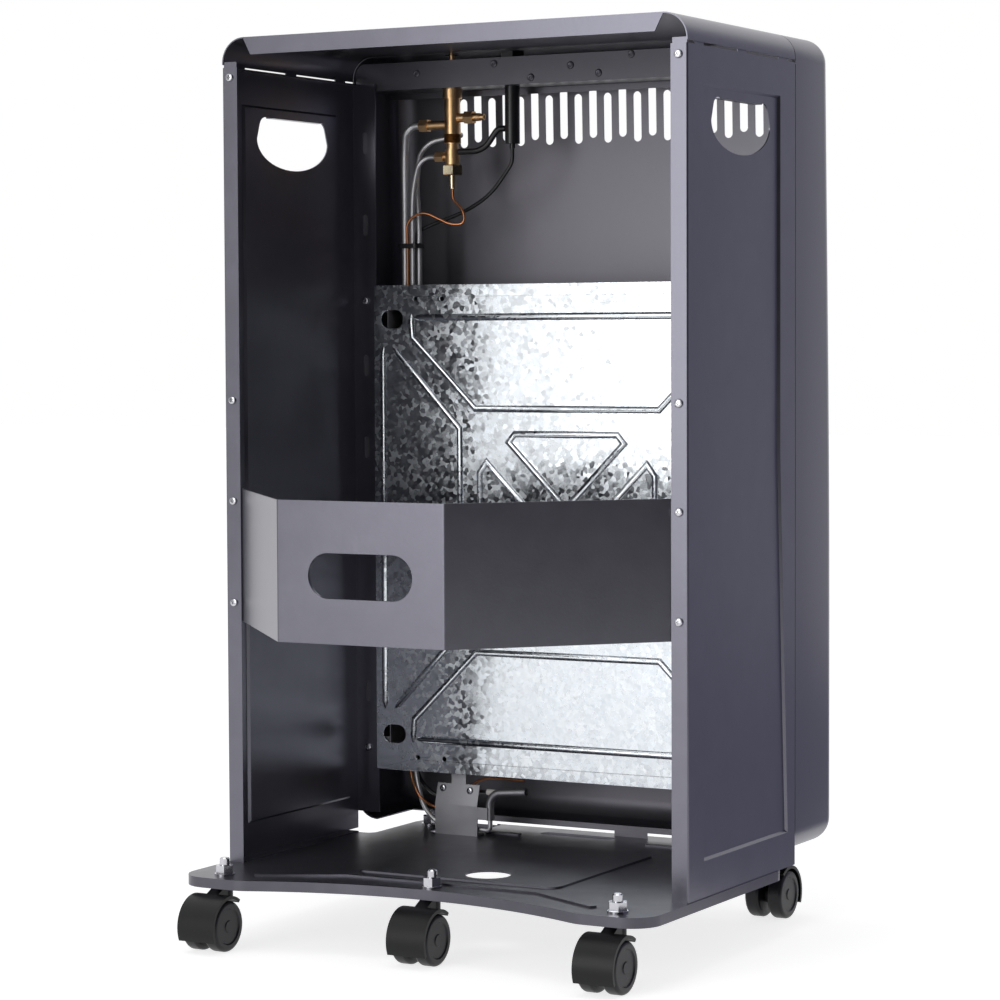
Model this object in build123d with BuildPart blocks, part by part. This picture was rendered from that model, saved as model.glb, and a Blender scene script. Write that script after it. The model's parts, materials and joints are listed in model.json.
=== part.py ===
from build123d import *
import os
from math import radians, tan

# Portable gas cabinet heater on five twin-wheel castors, standing without its back cover
# and without a gas bottle. Millimetres. +X is to the right seen from the front, the radiant
# front faces -Y, the open bottle bay faces +Y, +Z is up and z = 0 is the floor.

os.makedirs("parts", exist_ok=True)

# ---------------------------------------------------------------- driving dimensions
# cabinet
cabinet_width = 412.0
panel_height = 640.0
panel_depth = 199.0
sheet = 1.0
ride_height = 57.0  # floor to the underside of the side panels
cover_height = 23.5  # top of the side panels to the top of the cover
fascia_depth = 86.0  # front casing, from the seam to the foot of its face
fascia_tilt = 1.55  # degrees by which the upper part of its face leans back
fascia_upright = 193.0  # above the tray: its face stands upright below this
fascia_tilted = 393.0  # above the tray: its face has its full tilt above this
fascia_lift = 8.5  # underside of the front casing above the tray
casing_corner = 20.5  # upright front corners
casing_bend = 20.0  # long bends along the top and bottom edges
foot_lip = 4.0  # lip turned down at the rear of the casing's underside
foot_lip_inset = 38.0  # its ends inside the casing's sides
foot_tab_width = 31.0  # tab of the lip that stands on the tray
foot_tab_offset = 28.5  # to the left of the middle
seam_gap = 2.2  # open gap between cover and side panels

# side panels
rear_flange = 14.0
front_flange = 23.0
front_flange_lift = 15.0  # its lower end above the tray
top_flange = 8.0
foot_flange = 14.0
panel_bend = 1.5
emboss_depth = 2.0
emboss_rear_margin = 27.0
emboss_front_margin = 30.0  # along the upper half of the front border
emboss_toe_margin = 15.0  # where that border ends at the bottom
emboss_knee = 330.0  # above the tray: the border slants forward below this
emboss_end_margin = 28.0
emboss_corner = 12.0
grip_width = 108.0
grip_top_width = 96.0
grip_height = 42.0
grip_drop = 36.0  # below the side panels' top
grip_shoulder = 18.0  # from the flat top down to the widest line
grip_corner = 9.0
grip_lip = 7.0
keyhole_width = 5.0
keyhole_length = 18.0
keyhole_rises = (120.0, 190.0, 330.0)  # above the tray
keyhole_drops = (240.0, 120.0, 50.0)  # below the side panels' top
rear_screw_rise = 374.0  # plain screw of the rear flange, above the tray
cover_screw_drop = 8.0  # cover's screw below the panel's top

# cover
cover_rim = 14.0
cover_tab_length = 16.0
cover_tab_inset = 22.0  # end tabs from the cover's ends
cover_lug_width = 12.0
cover_lug_drop = 17.0

# front casing
slot_count = 23
slot_pitch = 14.0
slot_width = 7.5
slot_length = 42.0
slot_stagger = 4.5
slot_drop = 5.5  # below the side panels' top
window_margin = 7.0  # window's edge inside the burner box's wall
window_height = 390.0
window_corner = 14.0
window_return = 12.0
underside_return = 26.0

# tray
tray_overhang = 1.0  # beyond the side panels' outer faces
tray_plate = 1.2
tray_skirt = 8.0
tray_ear_reach = 73.0  # ears behind the side panels
tray_waist_reach = 40.0  # middle of the rear edge behind the side panels
tray_ear_corner = 24.0
tray_ear_width = 59.0  # from the tray's side to where an ear turns into the waist
tray_ear_blend = 30.0
tray_toe_inset = 29.0  # narrower front part under the casing
tray_shoulder = 178.0  # where the full width ends, forward of the panels' rear edge
tray_shoulder_corner = 16.0
toe_shoulder_corner = 8.0
toe_corner = 22.0
tray_front = 272.0  # front edge, forward of the panels' rear edge
tray_bead = 6.0
tray_bead_height = 1.5
tray_bead_taper = 30.0
front_rib_setback = 26.0  # forward of the seam
front_rib_spans = ((-150.0, -60.0), (60.0, 92.0))
rear_rib_rise = 13.0  # rear rib's middle run, behind the side panels
rear_rib_end = 47.0  # its ends, behind the side panels
rear_rib_run = 63.0  # from the ears' inner ends to where it turns
drain_radius = 18.0
drain_x = -15.0
drain_inset = 35.0  # forward of the panels' rear edge
pad_width = 182.0  # raised pad that the bottle stands on
pad_front = 16.0  # its front edge behind the seam
pad_rear = 6.0  # its rear edge forward of the panels' rear edge
pad_corner = 12.0
air_slot_x = 15.0
air_slot_length = 70.0
air_slot_width = 13.0
air_slot_setback = 46.0  # forward of the seam
toe_notch_margin = 38.0  # from the toe's sides
toe_notch_width = 38.0
toe_notch_corner = 6.0
toe_notch_setback = 8.0  # rear end of the notch, forward of the seam

# bottle strap
strap_reach = 131.0  # outer face behind the side panels
strap_half_flat = 72.0
strap_bottom = 196.0  # above the tray
strap_height = 107.0
strap_sheet = 1.2
strap_tab = 15.0  # bend in front of the panels' rear flanges, from their outer faces
strap_bend = 2.0
strap_slot_width = 90.0
strap_slot_height = 34.0
strap_slot_rise = 51.0  # slot centre above the strap's lower edge
strap_slot_rim = 2.2
strap_screw_rises = (15.0, 97.0)

# heat shield
shield_inset = 21.0  # its edges inside the side panels' outer faces
shield_bottom = 53.0  # above the tray
shield_height = 415.5
shield_sheet = 0.7
shield_hem = 9.0
shield_hem_inset = 7.0
bead_width = 5.0
bead_height = 1.6
# pressed beads, from the shield's centre to the right and up; each is drawn four ways, and a
# negative x is measured inwards from the shield's edge
shield_beads = (
    ((0, 180), (-46, 180)),
    ((-37, 177), (-38, 163), (86, 103), (0, 103)),
    ((-23, 150), (101, 86), (101, 0)),
    ((-9, 149), (-9, 0)),
    ((0, 82), (48, 82), (54, 75), (0, 21)),
)
# closed bead to the right of the centre, and its mirror image
shield_loop = ((17, 0), (75, 58), (82, 49), (82, -49), (75, -58), (17, 0))
access_width = 22.0
access_height = 15.5
access_margin = 18.0  # access hole's middle to the shield's edge
access_inset = 31.0
shield_hole_margins = (67.0, 41.0)
shield_hole_inset = 12.0
hole_radius = 2.0

# burner box behind the window
box_margin = 13.0  # box wall inside the shield's edge
box_inset = 7.0  # box wall inside the shield's lower and upper edges
box_depth = 50.0  # box front in front of the panels' front flange
box_sheet = 0.8
box_ear_height = 20.0
box_screw_rise = 18.0  # above the shield's lower edge
box_screw_drop = 13.0  # below its upper edge
box_lip = 14.0
gas_notch_margin = 3.0  # from the box wall
gas_notch_width = 22.5
gas_notch_depth = 24.0
plaque_height = 142.0
plaque_thick = 13.0
plaque_seat = 3.0
plaque_corner = 3.0
burner_side_margin = 25.0  # outer burners inside the box's walls
burner_gap = 3.0
burner_rise = 255.0  # plaque centre above the tray
burner_rim = 5.0
burner_depth = 20.0
burner_wall = 1.2
burner_corner = 6.0
mixer_radius = 8.0
mixer_mouth_radius = 9.8
mixer_length = 60.0
mixer_mouth = 14.0  # height of the flare
injector_gap = 6.0
injector_radius = 4.0
injector_length = 14.0
manifold_radius = 6.0
manifold_wall = 1.0
manifold_overrun = 30.0  # beyond the left burner's axis
manifold_stop = 20.0  # short of the gas notch's middle
manifold_foot_width = 12.0
manifold_foot_offset = 20.0  # outside the outer burners' axes
injector_thread = 3.0
injector_bore = 0.6

# wire guard
guard_wire = 2.6
guard_frame_wire = 4.0
guard_count = 19
guard_setback = 12.0
guard_cross_setback = 2.08  # cross bars behind the upright bars

# control rail, valve and igniter
rail_drop = 6.0  # rail underside below the top of the side panels
rail_height = 23.0
rail_shelf = 41.0
rail_play = 2.0  # between the rail's ends and the side panels
rail_corner = 9.0
valve_inset = 88.0  # valve axis from the right side panel's outer face
valve_setback = 18.0  # valve axis in front of the seam
valve_radius = 6.75
valve_collar_radius = 8.2
valve_collar_height = 8.0
valve_length = 46.0
valve_waist_radius = 5.0
valve_waist_height = 5.0
valve_foot_radius = 6.2
valve_foot_height = 13.0
valve_neck_radius = 6.5
valve_neck_length = 22.0
rotor_radius = 4.9
rotor_height = 9.0
rotor_rise = 9.0  # above the rail's underside
rotor_play = 0.15
spindle_radius = 2.5
spindle_flat = 1.7
spindle_tail = 3.0
running_clearance = 0.05
side_clearance = 0.3
outlet_drop = 30.0  # main outlet below the rail
outlet_reach = 23.0
inlet_drop = 24.5
inlet_port_reach = 13.0
inlet_reach = 31.0
port_radius = 3.8
second_outlet_drop = 38.0
pilot_outlet_drop = 57.0
pilot_outlet_reach = 8.0
union_flats = 10.0
union_length = 8.0
nozzle_radius = 3.4
nozzle_tip_radius = 2.6
nozzle_tip_length = 4.0
nozzle_bore_radius = 1.5
magnet_nut_flats = 16.0
magnet_nut_height = 9.0
magnet_tail_radius = 3.2
magnet_tail_length = 12.0
knob_radius = 17.0
knob_height = 14.0
knob_gap = 4.2
knob_travel = 3.5
knob_grips = 12
knob_grip_radius = 3.0
knob_floor = 3.0
knob_chamfer = 1.0
pointer_width = 2.4
pointer_height = 1.6
pointer_margin = 3.0
bezel_thick = 1.5
bezel_width = 106.0
bezel_depth = 34.0
bezel_corner = 5.0
piezo_spacing = 58.0  # from the valve
piezo_radius = 6.3
piezo_length = 81.0
piezo_collar_radius = 9.0
piezo_collar_height = 2.0
piezo_nut_flats = 19.0
piezo_nut_height = 5.0
piezo_terminal_wall = 0.8
piezo_terminal_length = 4.0
button_radius = 4.6
button_bore_clearance = 0.1
button_length = 22.0
button_stand = 8.5
button_travel = 6.0

# tubes and leads
main_tube_radius = 3.0
main_tube_bore = 2.2
second_tube_radius = 2.3
second_tube_bore = 1.6
pilot_tube_radius = 2.0
pilot_tube_bore = 1.3
lead_radius = 1.6
cable_radius = 2.6
thermocouple_radius = 1.1
tie_width = 4.0
tie_rise = 31.5  # above the shield
tie_wall = 1.2
tie_slack = 0.2
main_lane_margin = 6.5  # from the right side of the gas notch
second_lane_margin = 5.0  # this and the next three from its left side
pilot_lane_margin = 7.7
thermo_lane_margin = 11.5
spark_lane_margin = 10.5

# pilot assembly
pilot_offset = 8.5  # plate's middle from the valve
pilot_plate_width = 41.0
pilot_plate_height = 43.0
pilot_plate_thick = 1.5
pilot_fold = 26.0  # height of the fold in the plate
pilot_lean = 5.0  # how far the upper half leans forward
pilot_foot = 12.0
pilot_arm_rise = 20.0
pilot_arm_height = 10.0
pilot_tongue_width = 14.0
pilot_tongue_lap = 1.0
pilot_rod_offset = 30.5  # stand pipe from the plate's middle
pilot_rod_radius = 3.6
pilot_rod_rise = 37.0
pilot_rod_reach = 35.0
pilot_rod_bore = 2.4
electrode_radius = 1.2
insulator_radius = 2.6

# castors
wheel_radius = 20.0
wheel_width = 12.6
wheel_shoulder = 3.0
wheel_dish_radius = 14.5
wheel_dish_depth = 1.0
wheel_hub_radius = 5.0
castor_half_width = 16.8
web_half = 3.2
wheel_side_gap = 0.5
axle_radius = 2.5
axle_half = 13.6
axle_end_play = 0.4
web_radius = 8.0
castor_trail = 18.0
hood_radius = 24.0
hood_wall = 2.6
hood_gusset = 5.5  # half width
hood_start = -25.0
hood_sweep = 152.0
boss_radius = 6.5
boss_bottom = 36.6
boss_top = 49.6
pivot_radius = 3.0
pivot_end = 38.4
pivot_play = 0.3
collar_flats = 13.0
collar_chamfer = 1.0
stem_radius = 4.0
stem_stand = 14.0
castor_nut_flats = 13.0
castor_nut_height = 6.5
washer_radius = 8.0
washer_thick = 1.4
rear_castor_inset = 33.0  # from the tray's side
rear_castor_reach = 54.0  # behind the side panels
middle_castor_reach = 27.0
front_castor_inset = 20.0  # from the toe's side
front_castor_reach = -243.0

# screws
screw_radius = 1.9
screw_head_radius = 3.8
screw_head_height = 2.4
screw_length = 8.0
flange_screw_inset = 7.5  # from the panels' outer faces
box_screw_inset = 12.5

# ---------------------------------------------------------------- derived places
half_width = cabinet_width / 2
flange_screw_x = half_width - flange_screw_inset
box_screw_x = half_width - box_screw_inset
shield_width = cabinet_width - 2 * shield_inset
access_x = shield_width / 2 - access_margin
shield_hole_xs = [shield_width / 2 - margin for margin in shield_hole_margins]
box_half_width = shield_width / 2 - box_margin
burner_width = (2 * box_half_width - 2 * burner_side_margin - 2 * burner_gap) / 3
burner_pitch = burner_width + burner_gap
plaque_width = burner_width - 2 * burner_rim
window_width = 2 * (box_half_width - window_margin)
gas_notch_right = box_half_width - gas_notch_margin
gas_notch_left = gas_notch_right - gas_notch_width
rail_half_width = half_width - sheet - rail_play
strap_half_span = half_width - strap_tab
valve_x = half_width - valve_inset
piezo_x = valve_x - piezo_spacing
pilot_x = valve_x - pilot_offset
pilot_rod_x = pilot_x - pilot_rod_offset
pilot_rod_end_x = pilot_rod_x - pilot_rod_reach
tray_half = half_width + tray_overhang
toe_half = tray_half - tray_toe_inset
tray_ear_inner = tray_half - tray_ear_width
rear_castor_x = tray_half - rear_castor_inset
front_castor_x = toe_half - front_castor_inset
front_reach = castor_trail + hood_radius - front_castor_reach  # front wheels to panels' rear edge
overall_depth = front_reach + strap_reach
rear_y = overall_depth / 2 - strap_reach
seam_y = rear_y - panel_depth
front_y = seam_y - fascia_depth
fascia_blend_lean = (fascia_tilted - fascia_upright) * tan(radians(fascia_tilt) / 2)
fascia_lean = fascia_blend_lean + (panel_height + cover_height - fascia_tilted) * tan(
    radians(fascia_tilt)
)
tray_z = ride_height
panel_top_z = tray_z + panel_height
cover_top_z = panel_top_z + cover_height
panel_mid_y = (seam_y + rear_y) / 2
panel_mid_z = tray_z + panel_height / 2
shield_front_y = seam_y + sheet
shield_rear_y = shield_front_y + shield_sheet
shield_low_z = tray_z + shield_bottom
shield_top_z = shield_low_z + shield_height
shield_mid_z = (shield_low_z + shield_top_z) / 2
box_low_z = shield_low_z + box_inset
box_top_z = shield_top_z - box_inset
box_front_y = seam_y - box_depth
window_z = shield_mid_z
rail_z = panel_top_z - rail_drop
rail_y = seam_y - 2 * sheet
valve_y = seam_y - valve_setback
burner_z = tray_z + burner_rise
burner_low_z = burner_z - plaque_height / 2 - burner_rim
mixer_y = box_front_y + box_sheet + burner_depth / 2
mixer_end_z = burner_low_z - mixer_length
manifold_z = mixer_end_z - injector_gap - injector_length - manifold_radius
burner_xs = {"left": -burner_pitch, "centre": 0.0, "right": burner_pitch}


def save(piece, name):
    """Label a finished piece and write it to its STEP file."""
    piece.label = name
    export_step(piece, f"parts/{name}.step")


def bend_radii(points):
    """Largest sensible bend at each corner of a route: 0.45 of its shorter run."""
    radii = []
    for before, corner, after in zip(points, points[1:], points[2:]):
        run_in = Vector(*corner) - Vector(*before)
        run_out = Vector(*after) - Vector(*corner)
        half_turn = radians(run_in.get_angle(run_out)) / 2
        radii.append(0.45 * min(run_in.length, run_out.length) / tan(half_turn))
    return radii


def run_tube(points, radius, bore=0.0):
    """Sweep a tube or wire, straight runs joined by tangent arcs, into the open BuildPart."""
    with BuildLine() as path:
        FilletPolyline(*points, radius=bend_radii(points))
    route = path.wires()[0]
    with BuildSketch(Plane(origin=route @ 0, z_dir=route % 0)) as section:
        Circle(radius)
        if bore:
            Circle(bore, mode=Mode.SUBTRACT)
    sweep(sections=section.sketch, path=route)


# ---------------------------------------------------------------- side panels
grip_top_z = panel_top_z - grip_drop
grip_widest_z = grip_top_z - grip_shoulder
strap_screw_zs = [tray_z + strap_bottom + rise for rise in strap_screw_rises]
rear_screw_zs = strap_screw_zs + [tray_z + rear_screw_rise, panel_top_z - cover_screw_drop]
keyhole_zs = [tray_z + rise for rise in keyhole_rises]
keyhole_zs += [panel_top_z - drop for drop in keyhole_drops]
box_screw_zs = [shield_low_z + box_screw_rise, shield_top_z - box_screw_drop]


def pressed_field(inset):
    """Outline of the pressed field in the side panel, drawn in by inset."""
    rear = rear_y - emboss_rear_margin - inset
    front = seam_y + emboss_front_margin + inset
    toe = seam_y + emboss_toe_margin + inset
    low = tray_z + emboss_end_margin + inset
    top = panel_top_z - emboss_end_margin - inset
    with BuildSketch(Plane.YZ, mode=Mode.PRIVATE) as field:
        with BuildLine():
            Polyline(
                (rear, low),
                (rear, top),
                (front, top),
                (front, tray_z + emboss_knee),
                (toe, low),
                close=True,
            )
        make_face()
        knee = field.vertices().sort_by_distance(Vector(0, front, tray_z + emboss_knee))[0]
        fillet(field.vertices().filter_by(lambda corner: corner.Z != knee.Z), emboss_corner - inset)
    return field.sketch


with BuildPart() as side_panel_right:
    with Locations((half_width - sheet / 2, panel_mid_y, panel_mid_z)):
        Box(sheet, panel_depth, panel_height)
    with Locations((half_width - rear_flange / 2, rear_y - sheet / 2, panel_mid_z)):
        Box(rear_flange, sheet, panel_height)
    with Locations(
        (half_width - front_flange / 2, seam_y + sheet / 2, panel_mid_z + front_flange_lift / 2)
    ):
        Box(front_flange, sheet, panel_height - front_flange_lift)
    fillet(side_panel_right.edges().filter_by(Axis.Z).group_by(Axis.X)[-1], panel_bend)
    # top and foot flanges stop short of the rear flange, the foot flange also of the tray's toe
    for width, z, run in (
        (top_flange, panel_top_z - sheet / 2, panel_depth),
        (foot_flange, tray_z + sheet / 2, tray_shoulder),
    ):
        with Locations((half_width - width / 2, rear_y - (run + 4 * sheet) / 2, z)):
            Box(width, run - 4 * sheet, sheet)
    # pressed field: a shallow tray pushed inwards, with sloping borders
    for mode, face_x, grow in (
        (Mode.ADD, half_width - sheet, sheet),
        (Mode.SUBTRACT, half_width, 0.0),
    ):
        mouth = pressed_field(-grow / 2).moved(Location((face_x, 0, 0)))
        floor = pressed_field(emboss_depth - grow / 2).moved(Location((face_x - emboss_depth, 0, 0)))
        loft(sections=(mouth, floor), mode=mode)
    # hand hold with a rolled lip along its straight top
    with BuildSketch(Plane.YZ.offset(half_width + sheet)) as grip:
        with BuildLine():
            EllipticalCenterArc(
                (panel_mid_y, grip_widest_z),
                grip_width / 2,
                grip_height - grip_shoulder,
                start_angle=180,
                arc_size=180,
            )
            Polyline(
                (panel_mid_y + grip_width / 2, grip_widest_z),
                (panel_mid_y + grip_top_width / 2, grip_top_z),
                (panel_mid_y - grip_top_width / 2, grip_top_z),
                (panel_mid_y - grip_width / 2, grip_widest_z),
            )
        make_face()
        fillet(grip.vertices().group_by(Axis.Y)[-1], grip_corner)
    extrude(amount=-(emboss_depth + 3 * sheet), mode=Mode.SUBTRACT)
    with Locations(
        (half_width - emboss_depth - grip_lip / 2, panel_mid_y, grip_top_z - sheet / 2)
    ):
        Box(grip_lip, grip_top_width - 2 * grip_corner, sheet)
    # screw holes in the rear flange, screw holes and keyholes in the front flange
    with BuildSketch(Plane.XZ.offset(-rear_y - sheet)):
        with Locations([(flange_screw_x, z) for z in rear_screw_zs]):
            Circle(screw_radius)
    extrude(amount=3 * sheet, mode=Mode.SUBTRACT)
    with BuildSketch(Plane.XZ.offset(-seam_y - 2 * sheet)):
        with Locations([(box_screw_x, z) for z in box_screw_zs]):
            Circle(screw_radius)
        with Locations([(box_screw_x, z) for z in keyhole_zs]):
            SlotOverall(keyhole_length, keyhole_width, rotation=90)
    extrude(amount=3 * sheet, mode=Mode.SUBTRACT)
save(side_panel_right.part, "side_panel_right")

with BuildPart() as side_panel_left:
    mirror(side_panel_right.part, about=Plane.YZ)
save(side_panel_left.part, "side_panel_left")

# ---------------------------------------------------------------- top cover
cover_length = panel_depth - sheet
cover_mid_y = rear_y - cover_length / 2
skirt_z = panel_top_z + seam_gap
rim_half = half_width - casing_bend
tab_span = cover_length / 2 - cover_tab_inset
with BuildPart() as top_cover:
    # channel bent down at both sides: outer form, then the same form cut one sheet smaller
    for inset, low_z, mode in ((0.0, skirt_z, Mode.ADD), (sheet, skirt_z - sheet, Mode.SUBTRACT)):
        with BuildSketch(Plane.XZ.offset(-rear_y)) as section:
            with Locations((0, (low_z + cover_top_z - inset) / 2)):
                Rectangle(cabinet_width - 2 * inset, cover_top_z - inset - low_z)
            fillet(section.vertices().group_by(Axis.Y)[-1], casing_bend - inset)
        extrude(amount=cover_length, mode=mode)
    # rear rim, folded down with mitred ends
    with BuildSketch(Plane.XZ.offset(-rear_y)):
        with BuildLine():
            Polyline(
                (-rim_half, cover_top_z - sheet / 2),
                (-rim_half + cover_rim / 2, cover_top_z - cover_rim),
                (rim_half - cover_rim / 2, cover_top_z - cover_rim),
                (rim_half, cover_top_z - sheet / 2),
                close=True,
            )
        make_face()
    extrude(amount=sheet)
    # tabs that stand on the side panels' top flanges and hold the gap open
    for side in (-1, 1):
        tab_x = side * (half_width - 3 * sheet / 2)
        tab_ys = (cover_mid_y - tab_span, cover_mid_y, cover_mid_y + tab_span)
        with Locations([(tab_x, y, panel_top_z + seam_gap) for y in tab_ys]):
            Box(sheet, cover_tab_length, 2 * seam_gap)
        # lug inside the rear flange, held by a screw
        lug_x = side * (half_width - sheet - cover_lug_width / 2)
        with Locations((lug_x, rear_y - 3 * sheet / 2, skirt_z + seam_gap - cover_lug_drop / 2)):
            Box(cover_lug_width, sheet, cover_lug_drop)
        with Locations((side * flange_screw_x, rear_y - sheet, rear_screw_zs[-1])):
            Cylinder(screw_radius, 4 * sheet, rotation=(90, 0, 0), mode=Mode.SUBTRACT)
save(top_cover.part, "top_cover")


# ---------------------------------------------------------------- front casing
def casing_form(inset, back_y):
    """Solid outline of the front casing, drawn in by inset and running back to back_y."""
    half = half_width - inset
    low_z = tray_z + fascia_lift + inset
    top_z = cover_top_z - inset
    face_y = front_y + inset
    with BuildPart() as form:
        # side view: the face stands upright at its foot and leans back above
        with BuildSketch(Plane.YZ.offset(-half)):
            with BuildLine():
                Line((face_y, low_z), (face_y, tray_z + fascia_upright))
                TangentArc(
                    (face_y, tray_z + fascia_upright),
                    (face_y + fascia_blend_lean, tray_z + fascia_tilted),
                    tangent=(0, 1),
                )
                Polyline(
                    (face_y + fascia_blend_lean, tray_z + fascia_tilted),
                    (face_y + fascia_lean, top_z),
                    (back_y, top_z),
                    (back_y, low_z),
                    (face_y, low_z),
                )
            make_face()
        extrude(amount=2 * half)
        uprights = form.edges().filter_by(
            lambda edge: abs(edge.center().X) > half - sheet
            and edge.center().Y < seam_y - fascia_depth / 2
            and abs(edge.tangent_at(0.5).Z) > 0.9
        )
        fillet(uprights, casing_corner - inset)
        rims = form.faces().filter_by(Axis.Z).edges().filter_by(
            lambda edge: edge.center().Y < back_y - 0.1
        )
        fillet(rims, casing_bend - inset)
    return form.part


slot_first_x = -(slot_count - 1) * slot_pitch / 2
slot_top_z = panel_top_z - slot_drop
slot_spots = [
    (slot_first_x + i * slot_pitch, slot_top_z - slot_length / 2 - (i % 2) * slot_stagger)
    for i in range(slot_count)
]
casing_outer = casing_form(0, seam_y)
casing_inner = casing_form(sheet, seam_y + sheet)
casing_flange_low = tray_z + fascia_lift + casing_bend
casing_flange_top = cover_top_z - casing_bend - 4 * sheet

with BuildPart() as window_collar:
    with BuildSketch(Plane.XZ.offset(-front_y)):
        with Locations((0, window_z)):
            RectangleRounded(
                window_width + 2 * sheet, window_height + 2 * sheet, window_corner + sheet
            )
            RectangleRounded(window_width, window_height, window_corner, mode=Mode.SUBTRACT)
    extrude(amount=-(fascia_lean + window_return))
    add(casing_outer, mode=Mode.INTERSECT)

with BuildPart() as front_fascia:
    add(casing_outer)
    add(casing_inner, mode=Mode.SUBTRACT)
    add(window_collar.part)
    # rear flanges that meet the side panels' front flanges
    flange_width = front_flange - 2 * sheet
    for side in (-1, 1):
        with Locations(
            (
                side * (half_width - sheet - flange_width / 2),
                seam_y - sheet / 2,
                (casing_flange_low + casing_flange_top) / 2,
            )
        ):
            Box(flange_width, sheet, casing_flange_top - casing_flange_low)
    # window and the staggered slots above it
    with BuildSketch(Plane.XZ.offset(-front_y + sheet)):
        with Locations((0, window_z)):
            RectangleRounded(window_width, window_height, window_corner)
        with Locations(slot_spots):
            SlotOverall(slot_length, slot_width, rotation=90)
    extrude(amount=-(fascia_lean + 3 * sheet), mode=Mode.SUBTRACT)
    # open underside behind a return, with sides left standing
    underside_depth = fascia_depth - underside_return + sheet
    with Locations(
        (0, seam_y + sheet - underside_depth / 2, tray_z + fascia_lift + sheet / 2)
    ):
        Box(2 * (half_width - casing_bend), underside_depth, 3 * sheet, mode=Mode.SUBTRACT)
    # lip turned down behind the return, and its tab on the tray
    lip_y = front_y + underside_return - sheet / 2
    casing_low_z = tray_z + fascia_lift
    with Locations((0, lip_y, casing_low_z + (sheet - foot_lip) / 2)):
        Box(2 * (half_width - foot_lip_inset), sheet, foot_lip + sheet)
    with Locations((-foot_tab_offset, lip_y, tray_z + (fascia_lift + sheet) / 2)):
        Box(foot_tab_width, sheet, fascia_lift + sheet)
    # holes for the spindle and the igniter in the top, and for the screws at the rear
    with Locations((valve_x, valve_y, cover_top_z)):
        Cylinder(valve_neck_radius, 4 * sheet, mode=Mode.SUBTRACT)
    with Locations((piezo_x, valve_y, cover_top_z)):
        Cylinder(piezo_radius + side_clearance, 4 * sheet, mode=Mode.SUBTRACT)
    with Locations([(s * box_screw_x, seam_y, z) for s in (-1, 1) for z in box_screw_zs]):
        Cylinder(screw_radius, 4 * sheet, rotation=(90, 0, 0), mode=Mode.SUBTRACT)
save(front_fascia.part, "front_fascia")

# ---------------------------------------------------------------- base tray
ear_y = rear_y + tray_ear_reach
waist_y = rear_y + tray_waist_reach
shoulder_y = rear_y - tray_shoulder
toe_y = rear_y - tray_front
stem_spots = [
    (-rear_castor_x, rear_y + rear_castor_reach),
    (0, rear_y + middle_castor_reach),
    (rear_castor_x, rear_y + rear_castor_reach),
    (-front_castor_x, rear_y + front_castor_reach),
    (front_castor_x, rear_y + front_castor_reach),
]
tray_corners = (
    (tray_half, ear_y, tray_ear_corner),
    (tray_half, shoulder_y, tray_shoulder_corner),
    (toe_half, shoulder_y, toe_shoulder_corner),
    (toe_half, toe_y, toe_corner),
)


def tray_outline(inset):
    """Tray outline in plan, drawn in by inset."""
    with BuildSketch(Plane.XY, mode=Mode.PRIVATE) as plan:
        with BuildLine():
            Polyline(
                (-tray_ear_inner, ear_y),
                (-tray_half, ear_y),
                (-tray_half, shoulder_y),
                (-toe_half, shoulder_y),
                (-toe_half, toe_y),
                (toe_half, toe_y),
                (toe_half, shoulder_y),
                (tray_half, shoulder_y),
                (tray_half, ear_y),
                (tray_ear_inner, ear_y),
            )
            ThreePointArc((tray_ear_inner, ear_y), (0, waist_y), (-tray_ear_inner, ear_y))
        make_face()
        for x, y, radius in tray_corners:
            for side in (-1, 1):
                fillet(plan.vertices().sort_by_distance((side * x, y, 0))[0], radius)
        for side in (-1, 1):
            turn = plan.vertices().sort_by_distance((side * tray_ear_inner, ear_y, 0))[0]
            fillet(turn, tray_ear_blend)
        if inset:
            offset(amount=-inset, mode=Mode.REPLACE)
    return plan.sketch


pad_front_y = seam_y + pad_front
pad_rear_y = rear_y - pad_rear
pad_length = pad_rear_y - pad_front_y
pad_mid_y = (pad_front_y + pad_rear_y) / 2
toe_notch_x = toe_half - toe_notch_margin - toe_notch_width / 2
toe_notch_rear = seam_y - toe_notch_setback
toe_notch_length = toe_notch_rear - toe_y
toe_notch_spots = [(side * toe_notch_x, toe_y + toe_notch_length / 2) for side in (-1, 1)]
front_rib_y = seam_y - front_rib_setback
tray_ribs = [((left, front_rib_y), (right, front_rib_y)) for left, right in front_rib_spans]
tray_ribs.append(
    (
        (tray_ear_inner + 2, rear_y + rear_rib_end),
        (tray_ear_inner - rear_rib_run, rear_y + rear_rib_rise),
        (rear_rib_run - tray_ear_inner, rear_y + rear_rib_rise),
        (-tray_ear_inner - 2, rear_y + rear_rib_end),
    )
)

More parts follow.
